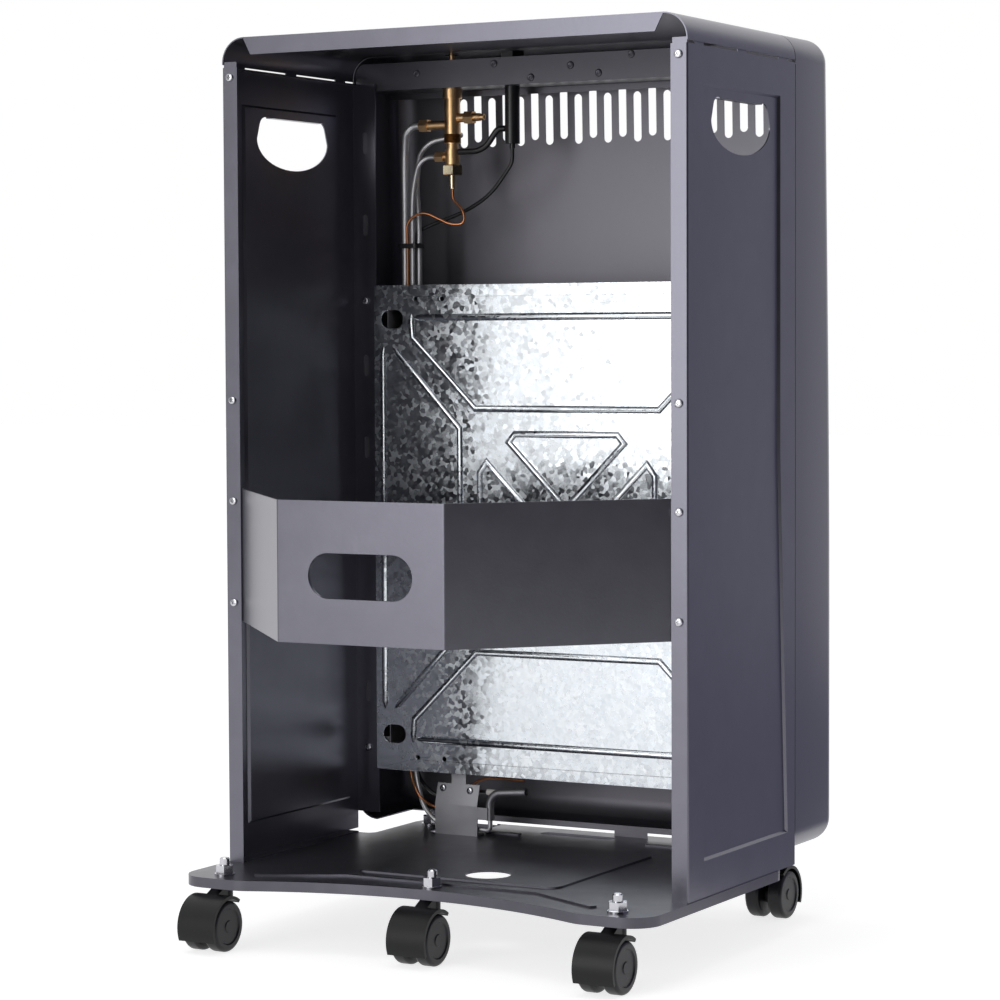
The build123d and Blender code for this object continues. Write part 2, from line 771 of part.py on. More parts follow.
with BuildPart() as base_tray:
    with BuildSketch(Plane.XY.offset(tray_z - tray_plate)):
        add(tray_outline(0))
        with Locations(stem_spots):
            Circle(stem_radius + running_clearance, mode=Mode.SUBTRACT)
        # air slot and notches in the toe
        with Locations((air_slot_x, seam_y - air_slot_setback)):
            SlotOverall(air_slot_length, air_slot_width, mode=Mode.SUBTRACT)
        with Locations(toe_notch_spots):
            RectangleRounded(
                toe_notch_width, toe_notch_length, toe_notch_corner, mode=Mode.SUBTRACT
            )
    extrude(amount=tray_plate)
    # skirt turned down all round
    with BuildSketch(Plane.XY.offset(tray_z - tray_plate)):
        add(tray_outline(0))
        add(tray_outline(tray_plate), mode=Mode.SUBTRACT)
    extrude(amount=tray_plate - tray_skirt)
    # pressed stiffening ribs
    for rib in tray_ribs:
        with BuildSketch(Plane.XY.offset(tray_z)):
            with BuildLine() as rib_line:
                Polyline(*rib)
            trace(line_width=tray_bead)
        extrude(amount=tray_bead_height)
    # pad pressed up under the bottle, with a drain hole
    for shrink, mode in ((0.0, Mode.ADD), (tray_plate, Mode.SUBTRACT)):
        with BuildSketch(Plane.XY.offset(tray_z - shrink)):
            with Locations((0, pad_mid_y)):
                RectangleRounded(
                    pad_width - 2 * shrink, pad_length - 2 * shrink, pad_corner - shrink
                )
        extrude(amount=tray_bead_height, taper=tray_bead_taper, mode=mode)
    with Locations((drain_x, rear_y - drain_inset, tray_z)):
        Cylinder(drain_radius, 4 * tray_plate, mode=Mode.SUBTRACT)
save(base_tray.part, "base_tray")

# ---------------------------------------------------------------- bottle strap
tab_y = rear_y - sheet - strap_sheet / 2
reach_y = rear_y + strap_reach - strap_sheet / 2
strap_z = tray_z + strap_bottom
strap_mid_z = strap_z + strap_height / 2

with BuildPart() as bottle_strap:
    with BuildSketch(Plane.XY.offset(strap_z)):
        with BuildLine():
            FilletPolyline(
                (half_width - 2 * sheet, tab_y),
                (strap_half_span, tab_y),
                (strap_half_flat, reach_y),
                (-strap_half_flat, reach_y),
                (-strap_half_span, tab_y),
                (2 * sheet - half_width, tab_y),
                radius=strap_bend,
            )
        trace(line_width=strap_sheet)
    extrude(amount=strap_height)
    # hand slot with a rim rolled inwards
    with BuildSketch(Plane.XZ.offset(-reach_y - strap_sheet / 2)):
        with Locations((0, strap_z + strap_slot_rise)):
            SlotOverall(strap_slot_width + 2 * strap_sheet, strap_slot_height + 2 * strap_sheet)
    extrude(amount=strap_slot_rim + strap_sheet)
    with BuildSketch(Plane.XZ.offset(-reach_y - strap_sheet)):
        with Locations((0, strap_z + strap_slot_rise)):
            SlotOverall(strap_slot_width, strap_slot_height)
    extrude(amount=strap_slot_rim + 2 * strap_sheet, mode=Mode.SUBTRACT)
    with Locations([(s * flange_screw_x, tab_y, z) for s in (-1, 1) for z in strap_screw_zs]):
        Cylinder(screw_radius, 4 * sheet, rotation=(90, 0, 0), mode=Mode.SUBTRACT)
save(bottle_strap.part, "bottle_strap")

# ---------------------------------------------------------------- heat shield
access_zs = (shield_low_z + access_inset, shield_top_z - access_inset + 2)
shield_hole_zs = (shield_low_z + shield_hole_inset, shield_top_z - shield_hole_inset)


def from_middle(x):
    """Distance from the shield's middle; a negative x is measured inwards from its edge."""
    return x if x >= 0 else shield_width / 2 + x


def four_ways(points):
    """A run of points about the shield's centre, and its mirror images on both axes."""
    runs = []
    for flip_x in (-1, 1):
        for flip_z in (-1, 1):
            runs.append([(flip_x * from_middle(x), shield_mid_z + flip_z * z) for x, z in points])
    return runs


with BuildPart() as heat_shield:
    with Locations((0, (shield_front_y + shield_rear_y) / 2, shield_mid_z)):
        Box(shield_width, shield_sheet, shield_height)
    # hems folded forwards along the top and bottom
    for edge_z in (shield_low_z + shield_sheet / 2, shield_top_z - shield_sheet / 2):
        with Locations((0, shield_rear_y - shield_hem / 2, edge_z)):
            Box(shield_width - 2 * shield_hem_inset, shield_hem, shield_sheet)
    # beads standing towards the bottle
    with BuildSketch(Plane.XZ.offset(-shield_rear_y)):
        for bead in shield_beads:
            for run in four_ways(bead):
                with BuildLine():
                    Polyline(*run)
                trace(line_width=bead_width)
        for side in (-1, 1):
            with BuildLine():
                Polyline(*[(side * x, shield_mid_z + z) for x, z in shield_loop])
            trace(line_width=bead_width)
    extrude(amount=-bead_height)
    bead_tops = heat_shield.faces().filter_by(Axis.Y).group_by(Axis.Y)[-1].edges()
    chamfer(bead_tops, bead_height * 0.6)
    # access holes over the box screws, and small fixing holes
    with BuildSketch(Plane.XZ.offset(-shield_rear_y - sheet)):
        with Locations([(s * access_x, z) for s in (-1, 1) for z in access_zs]):
            SlotOverall(access_width, access_height)
        with Locations([(s * x, z) for s in (-1, 1) for x in shield_hole_xs for z in shield_hole_zs]):
            Circle(hole_radius)
    extrude(amount=3 * sheet, mode=Mode.SUBTRACT)
save(heat_shield.part, "heat_shield")

# ---------------------------------------------------------------- burner box
box_mid_z = (box_low_z + box_top_z) / 2
box_height = box_top_z - box_low_z
box_length = shield_front_y - box_front_y
box_screw_reach = box_screw_x + 2 * screw_head_radius
notch_mid_x = (gas_notch_left + gas_notch_right) / 2

with BuildPart() as burner_box:
    with Locations((0, box_front_y + box_length / 2, box_mid_z)):
        Box(2 * box_half_width, box_length, box_height)
        Box(
            2 * (box_half_width - box_sheet),
            box_length,
            box_height - 2 * box_sheet,
            mode=Mode.SUBTRACT,
        )
    # front plate with a window for each plaque
    with Locations((0, box_front_y + box_sheet / 2, box_mid_z)):
        Box(2 * box_half_width, box_sheet, box_height)
    with BuildSketch(Plane.XZ.offset(-box_front_y + sheet)):
        with Locations([(x, burner_z) for x in burner_xs.values()]):
            RectangleRounded(
                plaque_width - 2 * plaque_seat, plaque_height - 2 * plaque_seat, plaque_corner
            )
    extrude(amount=-3 * sheet, mode=Mode.SUBTRACT)
    # lip that runs forward round the window's collar
    with BuildSketch(Plane.XZ.offset(-box_front_y)):
        with Locations((0, box_mid_z)):
            Rectangle(2 * box_half_width, box_height)
            Rectangle(
                2 * (box_half_width - box_sheet), box_height - 2 * box_sheet, mode=Mode.SUBTRACT
            )
    extrude(amount=box_lip)
    # ears screwed to the casing's rear flanges
    ear_run = box_screw_reach - box_half_width
    for side in (-1, 1):
        for z in box_screw_zs:
            with Locations((side * (box_half_width + ear_run / 2), rail_y + sheet / 2, z)):
                Box(ear_run, sheet, box_ear_height)
            with Locations((side * box_screw_x, rail_y, z)):
                Cylinder(screw_radius, 4 * sheet, rotation=(90, 0, 0), mode=Mode.SUBTRACT)
    # notches that let the tubes and leads through the roof and floor
    for z in (box_low_z, box_top_z):
        with Locations((notch_mid_x, shield_front_y - gas_notch_depth / 2, z)):
            Box(
                gas_notch_right - gas_notch_left,
                gas_notch_depth,
                4 * sheet,
                mode=Mode.SUBTRACT,
            )
save(burner_box.part, "burner_box")

# ---------------------------------------------------------------- burners and their plaques
burner_height = plaque_height + 2 * burner_rim
burner_front_y = box_front_y + box_sheet
plaque_mid_y = burner_front_y + plaque_thick / 2

for place, burner_x in burner_xs.items():
    with BuildPart() as burner:
        with Locations((burner_x, burner_front_y + burner_depth / 2, burner_z)):
            Box(burner_width, burner_depth, burner_height)
            fillet(burner.edges().filter_by(Axis.Y), burner_corner)
        # mixing chamber behind the plaque, and the plaque's seat
        chamber_depth = burner_depth - plaque_thick - burner_wall
        with Locations((burner_x, burner_front_y + plaque_thick + chamber_depth / 2, burner_z)):
            Box(
                plaque_width - 4 * plaque_seat,
                chamber_depth,
                plaque_height - 4 * plaque_seat,
                mode=Mode.SUBTRACT,
            )
        with Locations((burner_x, plaque_mid_y, burner_z)):
            Box(plaque_width, plaque_thick, plaque_height, mode=Mode.SUBTRACT)
        # mixer tube below, flared where it draws in air over the injector
        with BuildSketch(Plane.YZ.offset(burner_x)):
            with BuildLine():
                Polyline(
                    (mixer_y, burner_low_z),
                    (mixer_y + mixer_radius, burner_low_z),
                    (mixer_y + mixer_radius, mixer_end_z + mixer_mouth),
                    (mixer_y + mixer_mouth_radius, mixer_end_z),
                    (mixer_y, mixer_end_z),
                    close=True,
                )
            make_face()
        revolve(axis=Axis((burner_x, mixer_y, 0), (0, 0, 1)))
        bore = mixer_radius - burner_wall
        with Locations((burner_x, mixer_y, (mixer_end_z + burner_low_z) / 2)):
            Cylinder(bore, mixer_length + 6 * sheet, mode=Mode.SUBTRACT)
    save(burner.part, f"burner_{place}")

    with BuildPart() as plaque:
        with Locations((burner_x, plaque_mid_y, burner_z)):
            Box(plaque_width, plaque_thick, plaque_height)
    save(plaque.part, f"plaque_{place}")

# ---------------------------------------------------------------- gas manifold and injectors
manifold_end_x = notch_mid_x - manifold_stop
manifold_start_x = -burner_pitch - manifold_overrun
manifold_foot_x = burner_pitch + manifold_foot_offset
manifold_foot_length = mixer_y - manifold_radius + manifold_wall / 2 - burner_front_y
injector_z = manifold_z + manifold_radius + injector_length / 2

with BuildPart() as gas_manifold:
    manifold_length = manifold_end_x - manifold_start_x
    with Locations(((manifold_start_x + manifold_end_x) / 2, mixer_y, manifold_z)):
        Cylinder(manifold_radius, manifold_length, rotation=(0, 90, 0))
        Cylinder(
            manifold_radius - manifold_wall,
            manifold_length - 4 * manifold_wall,
            rotation=(0, 90, 0),
            mode=Mode.SUBTRACT,
        )
    # feet screwed to the box's front plate
    for x in (-manifold_foot_x, manifold_foot_x):
        with Locations((x, burner_front_y + manifold_foot_length / 2, manifold_z)):
            Box(manifold_foot_width, manifold_foot_length, 2 * manifold_radius)
    with Locations([(x, mixer_y, manifold_z + manifold_radius) for x in burner_xs.values()]):
        Cylinder(injector_radius - 1, 2 * injector_thread, mode=Mode.SUBTRACT)
save(gas_manifold.part, "gas_manifold")

with BuildPart() as injectors:
    for burner_x in burner_xs.values():
        with BuildSketch(Plane.YZ.offset(burner_x)):
            with BuildLine():
                Polyline(
                    (mixer_y, manifold_z + manifold_radius - injector_thread),
                    (mixer_y + injector_radius - 1, manifold_z + manifold_radius - injector_thread),
                    (mixer_y + injector_radius - 1, manifold_z + manifold_radius),
                    (mixer_y + injector_radius, manifold_z + manifold_radius),
                    (mixer_y + injector_radius, injector_z + injector_length / 4),
                    (mixer_y + injector_radius / 2, injector_z + injector_length / 2),
                    (mixer_y, injector_z + injector_length / 2),
                    close=True,
                )
            make_face()
        revolve(axis=Axis((burner_x, mixer_y, 0), (0, 0, 1)))
        with Locations((burner_x, mixer_y, injector_z)):
            Cylinder(injector_bore, injector_length + 4 * injector_thread, mode=Mode.SUBTRACT)
save(injectors.part, "injectors")

# ---------------------------------------------------------------- wire guard
guard_y = front_y + guard_setback
guard_half = window_width / 2 - guard_frame_wire / 2
guard_half_height = window_height / 2 - guard_frame_wire / 2
guard_step = 2 * guard_half / (guard_count + 1)
guard_xs = [-guard_half + (i + 1) * guard_step for i in range(guard_count)]

with BuildPart() as wire_guard:
    with BuildLine() as guard_path:
        FilletPolyline(
            (guard_half, guard_y, window_z - guard_half_height),
            (guard_half, guard_y, window_z + guard_half_height),
            (-guard_half, guard_y, window_z + guard_half_height),
            (-guard_half, guard_y, window_z - guard_half_height),
            radius=window_corner - guard_frame_wire / 2,
            close=True,
        )
    with BuildSketch(Plane(guard_path.line @ 0, z_dir=guard_path.line % 0)):
        Circle(guard_frame_wire / 2)
    sweep()
    # upright bars, and two cross bars behind them
    with Locations([(x, guard_y, window_z) for x in guard_xs]):
        Cylinder(guard_wire / 2, 2 * guard_half_height)
    for rise in (-guard_half_height / 3, guard_half_height / 3):
        with Locations((0, guard_y + guard_cross_setback, window_z + rise)):
            Cylinder(guard_wire / 2, 2 * guard_half, rotation=(0, 90, 0))
save(wire_guard.part, "wire_guard")

# ---------------------------------------------------------------- control rail
shelf_mid_y = rail_y + sheet - rail_shelf / 2

with BuildPart() as control_rail:
    with BuildSketch(Plane.XZ.offset(-rail_y - sheet)) as web:
        with Locations((0, rail_z + rail_height / 2)):
            Rectangle(2 * rail_half_width, rail_height)
        fillet(web.vertices().group_by(Axis.Y)[-1], rail_corner)
    extrude(amount=sheet)
    with Locations((0, shelf_mid_y, rail_z + sheet / 2)):
        Box(2 * (rail_half_width - rail_corner), rail_shelf, sheet)
    # short lip turned down at the shelf's front edge
    with Locations((0, rail_y + 3 * sheet / 2 - rail_shelf, rail_z - 2 * sheet)):
        Box(2 * (rail_half_width - rail_corner), sheet, 6 * sheet)
    with Locations((valve_x, valve_y, rail_z)):
        Cylinder(valve_neck_radius, 4 * sheet, mode=Mode.SUBTRACT)
    with Locations((piezo_x, valve_y, rail_z)):
        Cylinder(piezo_radius + side_clearance, 4 * sheet, mode=Mode.SUBTRACT)
save(control_rail.part, "control_rail")

# ---------------------------------------------------------------- gas valve
outlet_z = rail_z - outlet_drop
inlet_z = rail_z - inlet_drop
pilot_outlet_z = rail_z - pilot_outlet_drop
valve_foot_z = rail_z - valve_length - valve_waist_height - valve_foot_height
rotor_low_z = rail_z + rotor_rise
neck_top_z = rail_z + valve_neck_length
outlet_end_x = valve_x + outlet_reach
inlet_end_x = valve_x - inlet_reach
second_outlet_z = rail_z - second_outlet_drop
second_outlet_y = valve_y - valve_radius - 2
pilot_outlet_end_x = valve_x + pilot_outlet_reach

with BuildPart() as gas_valve:
    with BuildSketch(Plane.XZ.offset(-valve_y)):
        with BuildLine():
            Polyline(
                (valve_x, valve_foot_z),
                (valve_x + valve_foot_radius, valve_foot_z),
                (valve_x + valve_foot_radius, valve_foot_z + valve_foot_height),
                (valve_x + valve_waist_radius, valve_foot_z + valve_foot_height),
                (valve_x + valve_waist_radius, rail_z - valve_length),
                (valve_x + valve_radius, rail_z - valve_length),
                (valve_x + valve_radius, rail_z - valve_collar_height),
                (valve_x + valve_collar_radius, rail_z - valve_collar_height),
                (valve_x + valve_collar_radius, rail_z),
                (valve_x + valve_neck_radius, rail_z),
                (valve_x + valve_neck_radius, neck_top_z),
                (valve_x, neck_top_z),
                close=True,
            )
        make_face()
    revolve(axis=Axis((valve_x, valve_y, 0), (0, 0, 1)))
    # side ports
    for reach, z, radius in (
        (outlet_reach, outlet_z, port_radius),
        (-inlet_port_reach, inlet_z, port_radius),
        (pilot_outlet_reach, pilot_outlet_z, pilot_tube_radius + 1.2),
    ):
        with Locations((valve_x + reach / 2, valve_y, z)):
            Cylinder(radius, abs(reach), rotation=(0, 90, 0))
    with Locations((valve_x, (second_outlet_y + valve_y) / 2, second_outlet_z)):
        Cylinder(port_radius, valve_y - second_outlet_y, rotation=(90, 0, 0))
    # cavity for the rotor, and the spindle's way through it
    with Locations((valve_x, valve_y, rotor_low_z + rotor_height / 2)):
        Cylinder(
            rotor_radius + running_clearance, rotor_height + 2 * rotor_play, mode=Mode.SUBTRACT
        )
    with Locations((valve_x, valve_y, (rail_z + neck_top_z) / 2 + sheet)):
        Cylinder(spindle_radius + running_clearance, valve_neck_length, mode=Mode.SUBTRACT)
save(gas_valve.part, "gas_valve")

with BuildPart() as magnet_unit:
    with BuildSketch(Plane.XY.offset(valve_foot_z - magnet_nut_height)):
        with Locations((valve_x, valve_y)):
            RegularPolygon(magnet_nut_flats / 2, 6, major_radius=False)
    extrude(amount=magnet_nut_height)
    chamfer(magnet_unit.faces().filter_by(Axis.Z).edges(), 0.8)
    tail_z = valve_foot_z - magnet_nut_height - magnet_tail_length
    with Locations((valve_x, valve_y, tail_z + magnet_tail_length / 2)):
        Cylinder(magnet_tail_radius, magnet_tail_length)
    fillet(magnet_unit.edges().filter_by(GeomType.CIRCLE).sort_by(Axis.Z)[0], 1.6)
save(magnet_unit.part, "magnet_unit")

with BuildPart() as gas_inlet:
    union_x = valve_x - inlet_port_reach - union_length
    with BuildSketch(Plane.YZ.offset(union_x)):
        with Locations((valve_y, inlet_z)):
            RegularPolygon(union_flats / 2, 6, major_radius=False)
    extrude(amount=union_length)
    # hose nozzle with a reduced tip
    nozzle_low_x = inlet_end_x + nozzle_tip_length
    with Locations(((union_x + nozzle_low_x) / 2, valve_y, inlet_z)):
        Cylinder(nozzle_radius, union_x - nozzle_low_x, rotation=(0, 90, 0))
    with Locations((inlet_end_x + nozzle_tip_length / 2, valve_y, inlet_z)):
        Cylinder(nozzle_tip_radius, nozzle_tip_length, rotation=(0, 90, 0))
    bore_run = union_x + union_length - sheet - inlet_end_x
    with Locations((inlet_end_x + bore_run / 2, valve_y, inlet_z)):
        Cylinder(nozzle_bore_radius, bore_run, rotation=(0, 90, 0), mode=Mode.SUBTRACT)
save(gas_inlet.part, "gas_inlet")

# ---------------------------------------------------------------- knob, spindle and rotor
bezel_top_z = cover_top_z + bezel_thick
knob_low_z = bezel_top_z + knob_gap
knob_top_z = knob_low_z + knob_height
spindle_low_z = rotor_low_z - spindle_tail
spindle_top_z = knob_top_z - knob_floor


def d_section(radius, flat):
    """D-shaped face about the valve's axis: a circle with one flat."""
    with BuildSketch(mode=Mode.PRIVATE) as face:
        with Locations((valve_x, valve_y)):
            Circle(radius)
        with Locations((valve_x + flat + radius, valve_y)):
            Rectangle(2 * radius, 2 * radius, mode=Mode.SUBTRACT)
    return face.sketch


with BuildPart() as valve_rotor:
    with BuildSketch(Plane.XY.offset(rotor_low_z)):
        with Locations((valve_x, valve_y)):
            Circle(rotor_radius)
        add(
            d_section(spindle_radius + running_clearance, spindle_flat + running_clearance),
            mode=Mode.SUBTRACT,
        )
    extrude(amount=rotor_height)
save(valve_rotor.part, "valve_rotor")

with BuildPart() as valve_spindle:
    with BuildSketch(Plane.XY.offset(spindle_low_z)):
        add(d_section(spindle_radius, spindle_flat))
    extrude(amount=spindle_top_z - spindle_low_z)
save(valve_spindle.part, "valve_spindle")

with BuildPart() as control_knob:
    with BuildSketch(Plane.XY.offset(knob_low_z)):
        with Locations((valve_x, valve_y)):
            Circle(knob_radius)
            with PolarLocations(knob_radius + knob_grip_radius / 2, knob_grips):
                Circle(knob_grip_radius, mode=Mode.SUBTRACT)
    extrude(amount=knob_height)
    chamfer(control_knob.faces().filter_by(Axis.Z)[-1].edges(), knob_chamfer)
    # pointer ridge on top, hollow underside round a central boss
    with Locations((valve_x, valve_y - knob_radius / 2, knob_top_z)):
        Box(pointer_width, knob_radius - pointer_margin, pointer_height)
    with BuildSketch(Plane.XY.offset(knob_low_z)):
        with Locations((valve_x, valve_y)):
            Circle(knob_radius - knob_grip_radius - 1)
            Circle(2 * spindle_radius, mode=Mode.SUBTRACT)
    extrude(amount=knob_height - 2 * knob_floor, mode=Mode.SUBTRACT)
    with BuildSketch(Plane.XY.offset(knob_low_z)):
        add(d_section(spindle_radius, spindle_flat))
    extrude(amount=spindle_top_z - knob_low_z, mode=Mode.SUBTRACT)
save(control_knob.part, "control_knob")

with BuildPart() as control_bezel:
    with BuildSketch(Plane.XY.offset(cover_top_z)):
        with Locations(((valve_x + piezo_x) / 2, valve_y)):
            RectangleRounded(bezel_width, bezel_depth, bezel_corner)
        with Locations((valve_x, valve_y)):
            Circle(spindle_radius + 2 * side_clearance, mode=Mode.SUBTRACT)
        with Locations((piezo_x, valve_y)):
            Circle(piezo_radius, mode=Mode.SUBTRACT)
    extrude(amount=bezel_thick)
    chamfer(control_bezel.faces().filter_by(Axis.Z)[-1].outer_wire().edges(), 0.7)
save(control_bezel.part, "control_bezel")

# ---------------------------------------------------------------- piezo igniter
piezo_top_z = bezel_top_z + piezo_collar_height
piezo_low_z = piezo_top_z - piezo_length
button_top_z = piezo_top_z + button_stand
button_bore_depth = button_length - button_stand + button_travel + sheet

with BuildPart() as piezo_body:
    with Locations((piezo_x, valve_y, (piezo_low_z + piezo_top_z) / 2)):
        Cylinder(piezo_radius, piezo_length)
    with Locations((piezo_x, valve_y, piezo_top_z - piezo_collar_height / 2)):
        Cylinder(piezo_collar_radius, piezo_collar_height)
    with Locations((piezo_x, valve_y, piezo_top_z - button_bore_depth / 2)):
        Cylinder(button_radius + button_bore_clearance, button_bore_depth, mode=Mode.SUBTRACT)
    # nut under the casing's top, and the terminal at the lower end
    with BuildSketch(Plane.XY.offset(cover_top_z - sheet - piezo_nut_height)):
        with Locations((piezo_x, valve_y)):
            RegularPolygon(piezo_nut_flats / 2, 6, major_radius=False)
            Circle(piezo_radius, mode=Mode.SUBTRACT)
    extrude(amount=piezo_nut_height)
    with Locations((piezo_x, valve_y, piezo_low_z - piezo_terminal_length / 2)):
        Cylinder(lead_radius + piezo_terminal_wall, piezo_terminal_length)
save(piezo_body.part, "piezo_body")

with BuildPart() as piezo_button:
    with Locations((piezo_x, valve_y, button_top_z - button_length / 2)):
        Cylinder(button_radius, button_length)
    fillet(piezo_button.faces().sort_by(Axis.Z)[-1].edges(), 1.2)
save(piezo_button.part, "piezo_button")

# ---------------------------------------------------------------- tubes and leads
# lanes in which tubes and leads run down, side by side, in front of the shield; the way
# points of each run are offsets read off the photo
lane_y = valve_y + 4
main_lane = (gas_notch_right - main_lane_margin, lane_y)
second_lane = (gas_notch_left + second_lane_margin, lane_y - 4.5)
pilot_lane = (gas_notch_left + pilot_lane_margin, lane_y + 2)
thermo_lane = (gas_notch_left + thermo_lane_margin, lane_y + 4.2)
spark_lane = (gas_notch_left + spark_lane_margin, lane_y - 5.6)
tie_z = shield_top_z + tie_rise
lane_foot_z = tray_z + 48
pilot_plate_y = seam_y - 4
pilot_edge_x = pilot_x + pilot_plate_width / 2
pilot_rod_y = pilot_plate_y - pilot_plate_thick / 2 - pilot_rod_radius
pilot_rod_z = tray_z + 14
electrode_x = pilot_rod_x + 6
electrode_y = pilot_rod_y - pilot_rod_radius - insulator_radius
electrode_z = tray_z + pilot_rod_rise

with BuildPart() as main_tube:
    run_tube(
        [
            (outlet_end_x, valve_y, outlet_z),
            (main_lane[0] + 1, valve_y, outlet_z),
            (*main_lane, outlet_z - 26),
            (*main_lane, manifold_z + 70),
            (main_lane[0], mixer_y, manifold_z + 45),
            (main_lane[0], mixer_y, manifold_z),
            (manifold_end_x, mixer_y, manifold_z),
        ],
        main_tube_radius,
        main_tube_bore,
    )
    # second feed, from the valve's front port to the middle of the manifold
    run_tube(
        [
            (valve_x, second_outlet_y, second_outlet_z),
            (valve_x, second_outlet_y - 8, second_outlet_z),
            (valve_x + 38, valve_y - 12, second_outlet_z - 6),
            (valve_x + 37, lane_y - 6, second_outlet_z - 40),
            (*second_lane, second_outlet_z - 72),
            (*second_lane, manifold_z + 70),
            (second_lane[0], mixer_y, manifold_z + 36),
            (manifold_end_x - 14, mixer_y, manifold_z + 28),
            (manifold_end_x - 14, mixer_y, manifold_z + manifold_radius),
        ],
        second_tube_radius,
        second_tube_bore,
    )
save(main_tube.part, "main_tube")

with BuildPart() as pilot_tube:
    run_tube(
        [
            (pilot_outlet_end_x, valve_y, pilot_outlet_z),
            (pilot_lane[0] - 4, valve_y, pilot_outlet_z),
            (*pilot_lane, pilot_outlet_z - 30),
            (*pilot_lane, lane_foot_z),
            (pilot_edge_x + 14, seam_y - 7, tray_z + 22),
            (pilot_edge_x + 3, seam_y - 10, tray_z + 8),
            (pilot_rod_x, pilot_rod_y, tray_z + 5),
            (pilot_rod_x, pilot_rod_y, pilot_rod_z),
        ],
        pilot_tube_radius,
        pilot_tube_bore,
    )
save(pilot_tube.part, "pilot_tube")

with BuildPart() as union_nuts:
    for x, y, z, flats, bore in (
        (outlet_end_x, valve_y, outlet_z, union_flats, main_tube_radius),
        (pilot_outlet_end_x, valve_y, pilot_outlet_z, union_flats - 2, pilot_tube_radius),
        (manifold_end_x, mixer_y, manifold_z, union_flats + 2, main_tube_radius),
    ):
        with BuildSketch(Plane.YZ.offset(x)):
            with Locations((y, z)):
                RegularPolygon(flats / 2, 6, major_radius=False)
                Circle(bore, mode=Mode.SUBTRACT)
        extrude(amount=union_length)
save(union_nuts.part, "union_nuts")

with BuildPart() as thermocouple:
    run_tube(
        [
            (valve_x, valve_y, tail_z),
            (valve_x, valve_y, tail_z - 8),
            (valve_x - 12, valve_y + 3, tail_z - 18),
            (valve_x - 14, valve_y + 4, tail_z - 29),
            (valve_x - 2, valve_y + 6, tail_z - 30),
            (valve_x + 24, valve_y + 10, tail_z - 18),
            (thermo_lane[0], valve_y + 10, tail_z - 26),
            (*thermo_lane, tail_z - 42),
            (*thermo_lane, lane_foot_z - 2),
            (pilot_edge_x + 15, seam_y - 2, tray_z + 30),
            (pilot_edge_x + 3, seam_y - 10, tray_z + 20),
            (pilot_x + 7, seam_y - 12.5, tray_z + 24),
            (pilot_rod_x + 13, seam_y - 12.5, tray_z + 50),
            (pilot_rod_end_x + 2, pilot_rod_y, tray_z + 50),
        ],
        thermocouple_radius,
    )
save(thermocouple.part, "thermocouple")

with BuildPart() as igniter_lead:
    run_tube(
        [
            (piezo_x, valve_y, piezo_low_z - piezo_terminal_length),
            (piezo_x, valve_y, piezo_low_z - 16),
            (piezo_x + 22, valve_y - 2, piezo_low_z - 42),
            (piezo_x + 50, valve_y - 6, piezo_low_z - 56),
            (piezo_x + 80, valve_y - 6, piezo_low_z - 65),
            (spark_lane[0], valve_y - 5, piezo_low_z - 72),
            (*spark_lane, piezo_low_z - 81),
            (*spark_lane, lane_foot_z - 4),
            (pilot_edge_x + 8, seam_y - 17, tray_z + 30),
            (pilot_edge_x - 8, seam_y - 22, tray_z + 30),
            (electrode_x + 16, electrode_y, electrode_z),
            (electrode_x, electrode_y, electrode_z),
        ],
        lead_radius,
    )
save(igniter_lead.part, "igniter_lead")

with BuildPart() as igniter_cable:
    run_tube(
        [
            (piezo_x + piezo_radius, valve_y, piezo_low_z + 13),
            (piezo_x + 14, valve_y, piezo_low_z + 13),
            (piezo_x + 28, valve_y, piezo_low_z - 5),
            (valve_x - valve_foot_radius, valve_y, piezo_low_z - 5),
        ],
        cable_radius,
    )
save(igniter_cable.part, "igniter_cable")

# tie round the lanes
tie_left = second_lane[0] - second_tube_radius - tie_slack
tie_right = main_lane[0] + main_tube_radius + tie_slack
tie_front = spark_lane[1] - lead_radius - tie_slack
tie_rear = thermo_lane[1] + thermocouple_radius + tie_slack

with BuildPart() as tube_tie:
    with BuildSketch(Plane.XY.offset(tie_z)) as band:
        with Locations(((tie_left + tie_right) / 2, (tie_front + tie_rear) / 2)):
            RectangleRounded(tie_right - tie_left, tie_rear - tie_front, 2)
        offset(amount=tie_wall)
        with Locations(((tie_left + tie_right) / 2, (tie_front + tie_rear) / 2)):
            RectangleRounded(tie_right - tie_left, tie_rear - tie_front, 2, mode=Mode.SUBTRACT)
    extrude(amount=tie_width)
save(tube_tie.part, "tube_tie")

# ---------------------------------------------------------------- pilot assembly
with BuildPart() as pilot_bracket:
    with BuildSketch(Plane.YZ.offset(pilot_x - pilot_plate_width / 2)):
        with BuildLine():
            Polyline(
                (pilot_plate_y - pilot_foot, tray_z + pilot_plate_thick / 2),
                (pilot_plate_y, tray_z + pilot_plate_thick / 2),
                (pilot_plate_y, tray_z + pilot_fold),
                (pilot_plate_y - pilot_lean, tray_z + pilot_plate_height),
            )
        trace(line_width=pilot_plate_thick)
    extrude(amount=pilot_plate_width)
    # arm that carries the stand pipe, and a tongue up to the burner box
    arm_end_x = pilot_x - pilot_plate_width / 2
    with Locations(((pilot_rod_x + arm_end_x) / 2, pilot_plate_y, tray_z + pilot_arm_rise)):
        Box(arm_end_x - pilot_rod_x, pilot_plate_thick, pilot_arm_height)
    tongue_low_z = tray_z + pilot_plate_height - pilot_tongue_lap
    with Locations((pilot_x, pilot_plate_y - pilot_lean, (tongue_low_z + box_low_z) / 2)):
        Box(pilot_tongue_width, pilot_plate_thick, box_low_z - tongue_low_z)
save(pilot_bracket.part, "pilot_bracket")

